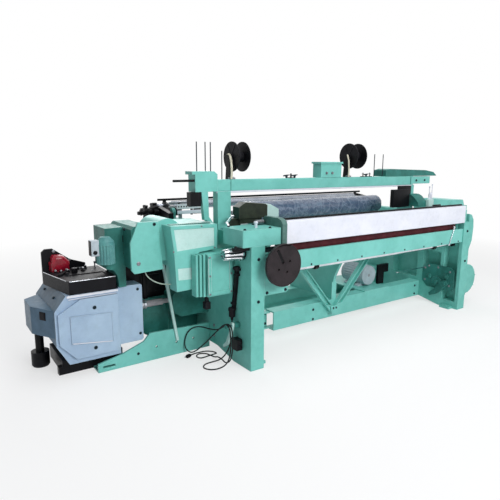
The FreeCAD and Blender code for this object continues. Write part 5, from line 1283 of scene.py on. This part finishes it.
@dataclass
class TakeUpTrim:
    """Black toothed ring, and the chromed hand knob with its deep rounded flutes."""
    body: str = "take_up_roller"
    flutes: int = 8
    sides: int = 96
    stations: tuple[Point, ...] = (
        (-166, 27, 0.0), (-166, 34, 0.06), (-163, 38, 0.2), (-120, 42.5, 0.22), (-60, 48.5, 0.22),
        (-34, 51, 0.22), (-32, 53.5, 0.0), (-17, 53.5, 0.0), (-16, 51, 0.0))

    def _ring(self, x: float, radius: float, depth: float) -> list[Vector]:
        """Works out one section of the knob.

        Args:
            x: Its place, in loom millimetres.
            radius: Radius over the ribs.
            depth: Share of the radius that a flute takes away.

        Returns:
            The section's points in metres.
        """
        ring = []
        for step in range(self.sides):
            angle = FULL_TURN * step / self.sides
            flute = max(0.0, 0.25 - math.cos(self.flutes * angle)) / 1.25
            reach = radius * (1 - depth * flute ** 0.6)
            ring.append(spot(x, TAKE_UP_Y + reach * math.cos(angle), TAKE_UP_Z + reach * math.sin(angle)))
        return ring

    def build(self) -> None:
        """Builds the ring, the knob in place of the plain one, and its dark nose."""
        ring = Piece("take_up_toothed_ring", BLACK_PAINT, self.body, 20)
        ring.cog((-15, TAKE_UP_Y, TAKE_UP_Z), Axis.RIGHT, 44, 52, 13, 22).done()
        knob = Piece("take_up_hand_knob", FLUTED_STEEL, self.body, 40)
        knob.loft([self._ring(*station) for station in self.stations])
        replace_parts(knob.done(), "take_up_knob")
        nose = Piece("take_up_knob_nose", BLACK_PAINT, self.body)
        nose.lathe((-165, TAKE_UP_Y, TAKE_UP_Z), Axis.LEFT,
                   [(-3, 25), (1, 25), (1, 22), (-1, 20), (-1, 8)], 40)
        nose.done()


@dataclass
class HandWheelTrim:
    """Rolled rim of the hand wheel."""
    centre: Point = (213, -95, 790)
    section: tuple[Flat, ...] = ((-12, 143), (-12, 150), (-11.4, 153.5), (-9, 154.9), (9, 154.9),
                                 (12, 153.5), (12.2, 150), (12.2, 143))

    def build(self) -> None:
        """Builds the rim."""
        rim = Piece("hand_wheel_rim", DARK_IRON, "hand_wheel")
        rim.lathe(self.centre, Axis.BACK, self.section, 72, closed=True).done()


@dataclass
class CreelTrim:
    """Reel ribs, stand bows, yarn guides, and a white strip of painted highlight under the top beam."""
    beam_y: float = 450.0
    beam_z: float = 1380.0
    reel_y: float = 485.0
    hub_radius: float = 30.0
    rib_end: float = 108.0
    ribs: int = 6
    reels: tuple[tuple[str, float, float, float], ...] = (("left_reel", 199.0, 52.5, 1552.0),
                                                          ("right_reel", 1500.0, 62.5, 1572.0))

    def _flange(self, piece: Piece, face: float, sense: int, z: float) -> None:
        """Adds the hub ring and the ribs of one flange.

        Args:
            piece: The reel's ribs.
            face: Place of the flange's outer face.
            sense: 1 where the face looks right, or -1.
            z: Height of the reel's axis.
        """
        piece.lathe((face, self.reel_y, z), (sense, 0, 0),
                    [(-0.5, 30), (3.5, 30), (4.5, 27), (4.5, 14), (0, 13)])
        for step in range(self.ribs):
            angle = FULL_TURN * step / self.ribs
            cosine, sine = math.cos(angle), math.sin(angle)
            ends = tuple((face + sense, self.reel_y + reach * cosine, z + reach * sine)
                         for reach in (self.hub_radius, self.rib_end))
            piece.bar(ends, (0, -6 * sine, 6 * cosine), 3)

    def spools(self) -> None:
        """Adds the hub rings and ribs to both reels."""
        for name, middle, half, z in self.reels:
            piece = Piece(name + "_ribs", BLACK_PLASTIC, name)
            for sense in (-1, 1):
                self._flange(piece, middle + sense * half, sense, z)
            piece.done()

    def stands(self) -> None:
        """Bends the cream bows in front of the reels and adds the stands' steel clips."""
        bows = Piece("reel_stand_bow", CREAM, smooth=50)
        bows.bar(((121, 446, 1382), (121, 440, 1420), (121, 441, 1470), (121, 449, 1520), (121, 463, 1556),
                  (121, 482, 1572), (121, 500, 1570)), (17, 0, 0), 7)
        bows.bar(((1408, 447, 1382), (1408, 444, 1440), (1408, 452, 1530), (1408, 470, 1584)), (15, 0, 0), 6)
        bows.done()
        clips = Piece("reel_stand_clips", ZINC_BOLT)
        for x in (121, 150, 1408, 1436):
            clips.slab((x - 12, 452, self.beam_z), (x + 12, 476, self.beam_z + 14), 2)
            clips.screw((x, 463, self.beam_z + 14), Axis.UP, 6, Head.HEX)
        clips.done()

    def guides(self) -> None:
        """Adds the yarn guide plates with their eyelets, and the tension discs, along the beam."""
        guides = Piece("yarn_guides", BLACK_PAINT)
        for x in (742, 748, 1250, 1640, 1735):
            guides.slab((x - 20, 462, self.beam_z), (x + 20, 500, self.beam_z + 6), 1.5)
            guides.lathe((x, 481, self.beam_z + 6), Axis.UP,
                         [(0, 5), (16, 4), (17, 11), (19, 12), (20, 4), (24, 4), (25, 11), (27, 11), (28, 3),
                          (34, 3)], 20)
        guides.done()
        discs = Piece("tension_discs", ZINC_BOLT)
        for x in (1130, 1200):
            discs.lathe((x, self.beam_y, 1420), Axis.FRONT,
                        [(0, 12), (2, 12), (3, 5), (9, 5), (10, 10), (12, 9)], 24)
        discs.done()

    def strip(self) -> None:
        """Runs a white strip under the beam's front edge as painted highlight, and marks the beam's seams."""
        # White strip under the beam's front edge: painted highlight.
        Piece("top_beam_painted_highlight", WHITE_BOARD).slab((-4, 452, 1277), (2372, 470, 1291), 2).done()
        seams = Piece("top_beam_seams", DEEP_GREEN)
        seams.slab((118, 446.5, 1296), (121, self.beam_y, 1374), 1)
        seams.slab((2330, 444.5, 1296), (2334, self.beam_y, 1374), 1).done()

    def build(self) -> None:
        """Builds all of it."""
        self.spools()
        self.stands()
        self.guides()
        self.strip()


@dataclass
class LetOffTrim:
    """Toothed wheels of the adjusting head behind the left frame."""
    y: float = 1445.0
    z: float = 1060.0
    nut_z: float = 1050.0
    wheels: tuple[tuple[float, float, float, float, int], ...] = (
        (-222, 24, 34, 12, 7), (-188, 42, 64, 26, 8), (-112, 60, 82, 42, 9))

    def build(self) -> None:
        """Builds three toothed wheels and the nose nut."""
        head = Piece("let_off_toothed_wheels", BLACK_PAINT, smooth=20)
        for x, root, tip, width, teeth in self.wheels:
            head.cog((x, self.y, self.z), Axis.RIGHT, root, tip, width, teeth)
        head.lathe((-232, self.y, self.nut_z), Axis.LEFT, [(0, 20), (8, 20), (10, 17), (17, 12)], 6).done()


@dataclass
class BackRestTrim:
    """Black bar over the back roller, and the white strips by the left frame."""
    bar: Box = ((-14, 1528, 1146), (2774, 1544, 1167), 3)
    lugs: tuple[float, ...] = (46, 2684)
    upper: Box = ((8, 1172, 1094), (296, 1177, 1140), 1.5)
    lower: Box = ((14, 1170, 1050), (308, 1177, 1082), 1.5)
    links: tuple[Box, ...] = (
        ((24, 1176, 1040), (46, 1184, 1150), 1.5), ((150, 1176, 1040), (172, 1184, 1150), 1.5),
        ((180, 1176, 1046), (312, 1182, 1136), 1.5))

    def build(self) -> None:
        """Builds the bar with its lugs, and the strips with their links."""
        bar = Piece("back_roller_bar", BLACK_PAINT, "back_rest_arms").slab(*self.bar)
        for x in self.lugs:
            bar.slab((x, 1530, 1128), (x + 28, 1556, 1148), 3)
        bar.done()
        Piece("perforated_strip", STRIP).slab(*self.upper).done()
        Piece("lower_strip", WHITE_BOARD).slab(*self.lower).done()
        Piece("strip_links", BLACK_PAINT).slabs(self.links).done()


@dataclass
class DriveCasingTrim:
    """Dark gear casing behind the dobby's shaft, and the coupling on that shaft."""
    upper: tuple[Box, ...] = (
        ((-566, 772, 452), (-292, 850, 762), 8), ((-520, 758, 500), (-360, 774, 640), 5),
        ((-505, 744, 452), (-470, 774, 700), 4), ((-664, 742, 616), (-560, 852, 768), 6))
    outline: tuple[Flat, ...] = ((-292, 452), (-548, 452), (-556, 300), (-540, 220), (-500, 160), (-440, 128),
                                 (-292, 128))
    middle: Flat = (-400, 290)
    front_y: float = 748.0
    layers: tuple[Flat, ...] = ((748, 0.93), (754, 1.0), (860, 1.0))
    tail: Box = ((-300, 800, 126), (-4, 858, 336), 8)
    bolts: tuple[Flat, ...] = ((-520, 420), (-520, 270), (-430, 160), (-330, 160))

    def build(self) -> None:
        """Builds the casing in two parts and the coupling."""
        Piece("drive_casing_upper", BLACK_PAINT).slabs(self.upper).done()
        lower = Piece("drive_casing_lower", DEEP_GREEN)
        lower.pressing(self.outline, self.middle, self.layers, Axis.FRONT).slab(*self.tail)
        for x, z in self.bolts:
            lower.screw((x, self.front_y, z), Axis.FRONT, 7, Head.HEX)
        lower.done()
        coupling = Piece("dobby_shaft_coupling", PLAIN_STEEL, "dobby_shaft", 20)
        coupling.lathe((-562, 700, 425), Axis.RIGHT,
                       [(0, 34), (4, 37), (26, 37), (28, 33), (34, 33), (36, 37), (52, 37), (56, 32)], 12)
        coupling.done()


@dataclass
class RightHeadTrim:
    """Relay boxes, gripper gear cover and sight oiler between the right post and headblock."""
    relays: tuple[Box, ...] = (
        ((2128, 424, 1186), (2314, 451, 1284), 4), ((2022, 404, 1070), (2272, 451, 1249), 6),
        ((2464, 256, 1076), (2606, 274, 1090), 3))
    cover: tuple[Flat, ...] = ((452, 1076), (452, 1190), (436, 1200), (404, 1198), (372, 1182), (330, 1146),
                               (304, 1118), (298, 1104), (298, 1076))
    cover_middle: Flat = (375, 1138)
    cover_layers: tuple[Flat, ...] = ((2284, 0.94), (2290, 1.0), (2416, 1.0), (2428, 0.97), (2434, 0.9))
    block: Box = ((2402, 262, 1066), (2484, 300, 1150), 5)
    oiler: Point = (2446, 282, 1150)

    def sight_oiler(self) -> None:
        """Builds the oiler's glass and its two pipes, of unlike height."""
        x, y, z = self.oiler
        oiler = Piece("sight_oiler", WHITE_BOARD)
        oiler.lathe(self.oiler, Axis.UP,
                    [(0, 15), (6, 17), (10, 14), (14, 19), (52, 19), (56, 12), (66, 10)], 24)
        for side in (-20, 24):
            tall = 122 + side / 2
            oiler.lathe((x + side, y, z), Axis.UP,
                        [(0, 8), (14, 8), (16, 4), (tall, 4), (tall + 2, 7), (tall + 18, 7)], 14)
        oiler.done()

    def build(self) -> None:
        """Builds the boxes, the cover, the block and the oiler on it."""
        Piece("relay_boxes", BLACK_PAINT).slabs(self.relays).done()
        cover = Piece("gripper_gear_cover", DEEP_GREEN, smooth=50)
        cover.pressing(self.cover, self.cover_middle, self.cover_layers, Axis.RIGHT)
        for z in (1100, 1150):
            cover.screw((2434, 420, z), Axis.RIGHT, 7, Head.HEX)
        cover.done()
        Piece("oiler_block", PALE_PANEL).slab(*self.block).done()
        self.sight_oiler()


@dataclass
class GripperTrim:
    """Ribbed pipe by the gripper head, the louvres on the housing, and the selvedge rod."""
    pipe_at: Point = (180, 205, 1065.5)
    pipe_ribs: int = 7
    vent: Box = ((-448, 352, 1071), (-112, 400, 1073.4), 0.6)
    fins: int = 21
    fin_pitch: float = 16.0
    rod: tuple[Point, ...] = ((2475, 5, 884), (2470, 3, 872), (2409, 3, 728), (2405, 5, 716))

    def build(self) -> None:
        """Builds them."""
        profile = [(0, 14)]
        for step in range(self.pipe_ribs):
            start = 3 + step * 10
            profile += [(start, 21), (start + 6, 21), (start + 7, 15)]
        profile += [(76, 14), (84, 10)]
        Piece("ribbed_air_pipe", ZINC_BOLT).lathe(self.pipe_at, Axis.RIGHT, profile, 24).done()
        Piece("housing_vent_bed", DEEP_GREEN).slab(*self.vent).done()
        fins = Piece("housing_vent_fins", PALE_PANEL)
        for step in range(self.fins):
            left = -442 + step * self.fin_pitch
            fins.slab((left, 354, 1072), (left + 8, 398, 1077), 0.8)
        fins.done()
        rod = Piece("selvedge_rod", BRIGHT_STEEL).bar(self.rod, (9, 0, 0), 7)
        for x, _, z in (self.rod[0], self.rod[-1]):
            rod.lathe((x, 10, z), Axis.FRONT, [(0, 11), (10, 11), (12, 8)], 18)
        rod.done()


@dataclass
class MotorTrim:
    """Fan cowls, end shields and terminal box lids of the three motors."""
    main_end: Point = (1940, 900, 347)
    shaft_end: Point = (1940, 598, 347)
    lid: Box = ((2091, 704, 306), (2097, 796, 398), 2)
    outer_end: Point = (3044, 190, 270)
    drum: Point = (2898, 62, 285)
    drum_profile: tuple[Flat, ...] = ((0, 60), (0, 132), (5, 138), (5, 150), (10, 158), (44, 160), (50, 154),
                                      (60, 130), (84, 96))
    foot: Box = ((2758, 92, 98), (2936, 236, 122), 4)
    feet: tuple[float, ...] = (2800, 2900)

    def cowl(self, piece: Piece, centre: Point, facing: Axis, radius: float) -> None:
        """Adds an end shield with a fan grille of rings.

        Args:
            piece: The motor's cowl.
            centre: Middle of the motor's end.
            facing: Way that the end looks.
            radius: Radius of the shield.
        """
        piece.lathe(centre, facing, [(0, radius), (3, radius - 2), (5, radius - 10), (5, radius * 0.3),
                                     (7, radius * 0.28), (7, 4)], 48)
        for share in (0.45, 0.6, 0.75):
            ring = radius * share
            piece.lathe(centre, facing, [(5, ring + 2), (7, ring + 1.4), (7, ring - 1.4), (5, ring - 2)], 48)

    def main(self) -> None:
        """Builds the cowl, the terminal lid and the shaft cap of the motor under the beams."""
        cowl = Piece("main_motor_cowl", GREY_MOTOR)
        self.cowl(cowl, self.main_end, Axis.BACK, 100)
        cowl.slab(*self.lid)
        for place in grid(2097, (716, 784), (318, 386)):
            cowl.screw(place, Axis.RIGHT, 4, Head.DOME)
        cowl.done()
        cap = Piece("main_motor_shaft_cap", PLAIN_STEEL)
        cap.lathe(self.shaft_end, Axis.BACK, [(0, 15), (3, 17), (6, 17)]).done()

    def outer(self) -> None:
        """Builds the cowl, the drum cover and the feet of the motor outside the right post."""
        cowl = Piece("outer_motor_cowl", MINT_CAST)
        self.cowl(cowl, self.outer_end, Axis.RIGHT, 84)
        _, y, z = self.outer_end
        for step in range(6):
            angle = FULL_TURN * step / 6 + 0.3
            cowl.screw((2884, y + 118 * math.cos(angle), z + 118 * math.sin(angle)), Axis.RIGHT, 8, Head.HEX)
        cowl.lathe(self.drum, Axis.BACK, self.drum_profile, 56)
        x, _, z = self.drum
        for step in range(8):
            angle = FULL_TURN * step / 8 + 0.2
            cowl.screw((x + 145 * math.cos(angle), 67, z + 145 * math.sin(angle)), Axis.FRONT, 7, Head.HEX)
        cowl.slab(*self.foot)
        for left in self.feet:
            cowl.slab((left, 110, 118), (left + 12, 220, 150), 3)
        cowl.done()

    def build(self) -> None:
        """Builds the details of all the motors."""
        self.main()
        self.outer()
        gland = Piece("small_motor_gland", BLACK_PAINT)
        gland.lathe((-930, 501, 905), Axis.FRONT, [(0, 15), (6, 15), (7, 11), (15, 10), (16, 6)], 6)
        gland.slab((-957, 503, 884), (-953, 559, 982), 1.5).done()


@dataclass
class SideTrim:
    """Small things on the two ends: conduit clamps, seams, a black fill of painted shade in the drive box's
    square hole with two black blocks, switches and wheels.
    """
    conduit_x: float = -28.0
    clamps: tuple[Flat, ...] = ((432, 209), (474, 204), (700, 158), (742, 148))
    sleeves: tuple[Point, ...] = ((209, 428, 27), (150, 752, 22))
    hole_shade_and_blocks: tuple[Box, ...] = (
        ((-704, 596, 944), (-699, 646, 992), 2), ((-226, 246, 500), (-206, 274, 552), 2),
        ((-236, 236, 452), (-194, 284, 506), 3))
    cover_x: float = 2636.0

    def conduit(self) -> None:
        """Holds the cable conduit with four clamps and puts a sleeve on each of its ends."""
        clamps = Piece("conduit_clamps", BLACK_PLASTIC)
        for z, y in self.clamps:
            clamps.slab((-34, y - 18, z - 9), (1, y + 18, z + 9), 3)
        for y, z, radius in self.sleeves:
            clamps.lathe((self.conduit_x, y, z), Axis.UP,
                         [(-12, radius), (-9, radius + 2), (9, radius + 2), (12, radius)], 24)
        clamps.done()

    def seams(self) -> None:
        """Lines the folds of the take-up gearbox's cover."""
        seams = Piece("gearbox_seams", PALE_PANEL)
        seams.bar(((-230, 199, 836), (-230, 199, 570)), (5, 0, 0), 3)
        for x in (-206, -50):
            seams.bar(((x, 204.5, 828), (x, 204.5, 588)), (4, 0, 0), 3)
        seams.done()

    def switches(self) -> None:
        """Puts two push buttons on the pedal box."""
        switches = Piece("pedal_switches", BLACK_PLASTIC).slab((-42, 105, 134), (-6, 111, 210), 3)
        for z in (152, 190):
            switches.lathe((-24, 105, z), Axis.FRONT, [(0, 13), (3, 13), (4, 10), (12, 10), (14, 8)], 24)
        switches.done()

    def wheels(self) -> None:
        """Puts the toothed wheel and two rollers on the right inner cover."""
        wheels = Piece("inner_cover_wheels", DEEP_GREEN)
        wheels.cog((self.cover_x, 255, 255), Axis.LEFT, 56, 62, 12, 30)
        wheels.lathe((self.cover_x - 12, 255, 255), Axis.LEFT, [(0, 20), (8, 20), (10, 14), (18, 14)], 24)
        for y, z, radius in ((150, 330, 30), (350, 300, 26)):
            wheels.lathe((self.cover_x, y, z), Axis.LEFT,
                         [(0, radius), (9, radius), (12, radius - 5), (12, 8), (20, 8)], 28)
        wheels.done()

    def build(self) -> None:
        """Builds the small things."""
        self.conduit()
        self.seams()
        # The first box fills the drive box's square hole in black as painted shade.
        Piece("drive_box_hole_shade_and_blocks", BLACK_PLASTIC).slabs(self.hole_shade_and_blocks).done()
        self.switches()
        self.wheels()


@dataclass
class SizeCard:
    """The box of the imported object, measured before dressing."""
    packed: list[list[float]] = field(default_factory=list)

    def measure(self) -> list[list[float]]:
        """Returns the shown object's lowest and highest corners."""
        low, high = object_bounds()
        return [list(low), list(high)]

    def write(self) -> None:
        """Does nothing with the boxes."""


def main() -> None:
    """Builds the studio and dresses the loom, piece by piece."""
    logging.basicConfig(level=logging.INFO, format="%(name)s: %(message)s")
    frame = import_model()
    card = SizeCard()
    card.packed = card.measure()
    Studio().build()
    PowerCable().build()
    OilPipe().build()
    Castings().build(frame["nodes"])
    WrappedRoll().build()
    for group in FASTENERS:
        group.build()
    for trim in (DobbyTrim(), TakeUpTrim(), HandWheelTrim(), CreelTrim(), LetOffTrim(), BackRestTrim(),
                 DriveCasingTrim(), RightHeadTrim(), GripperTrim(), MotorTrim(), SideTrim()):
        trim.build()
    card.write()


if __name__ == "__main__":
    main()
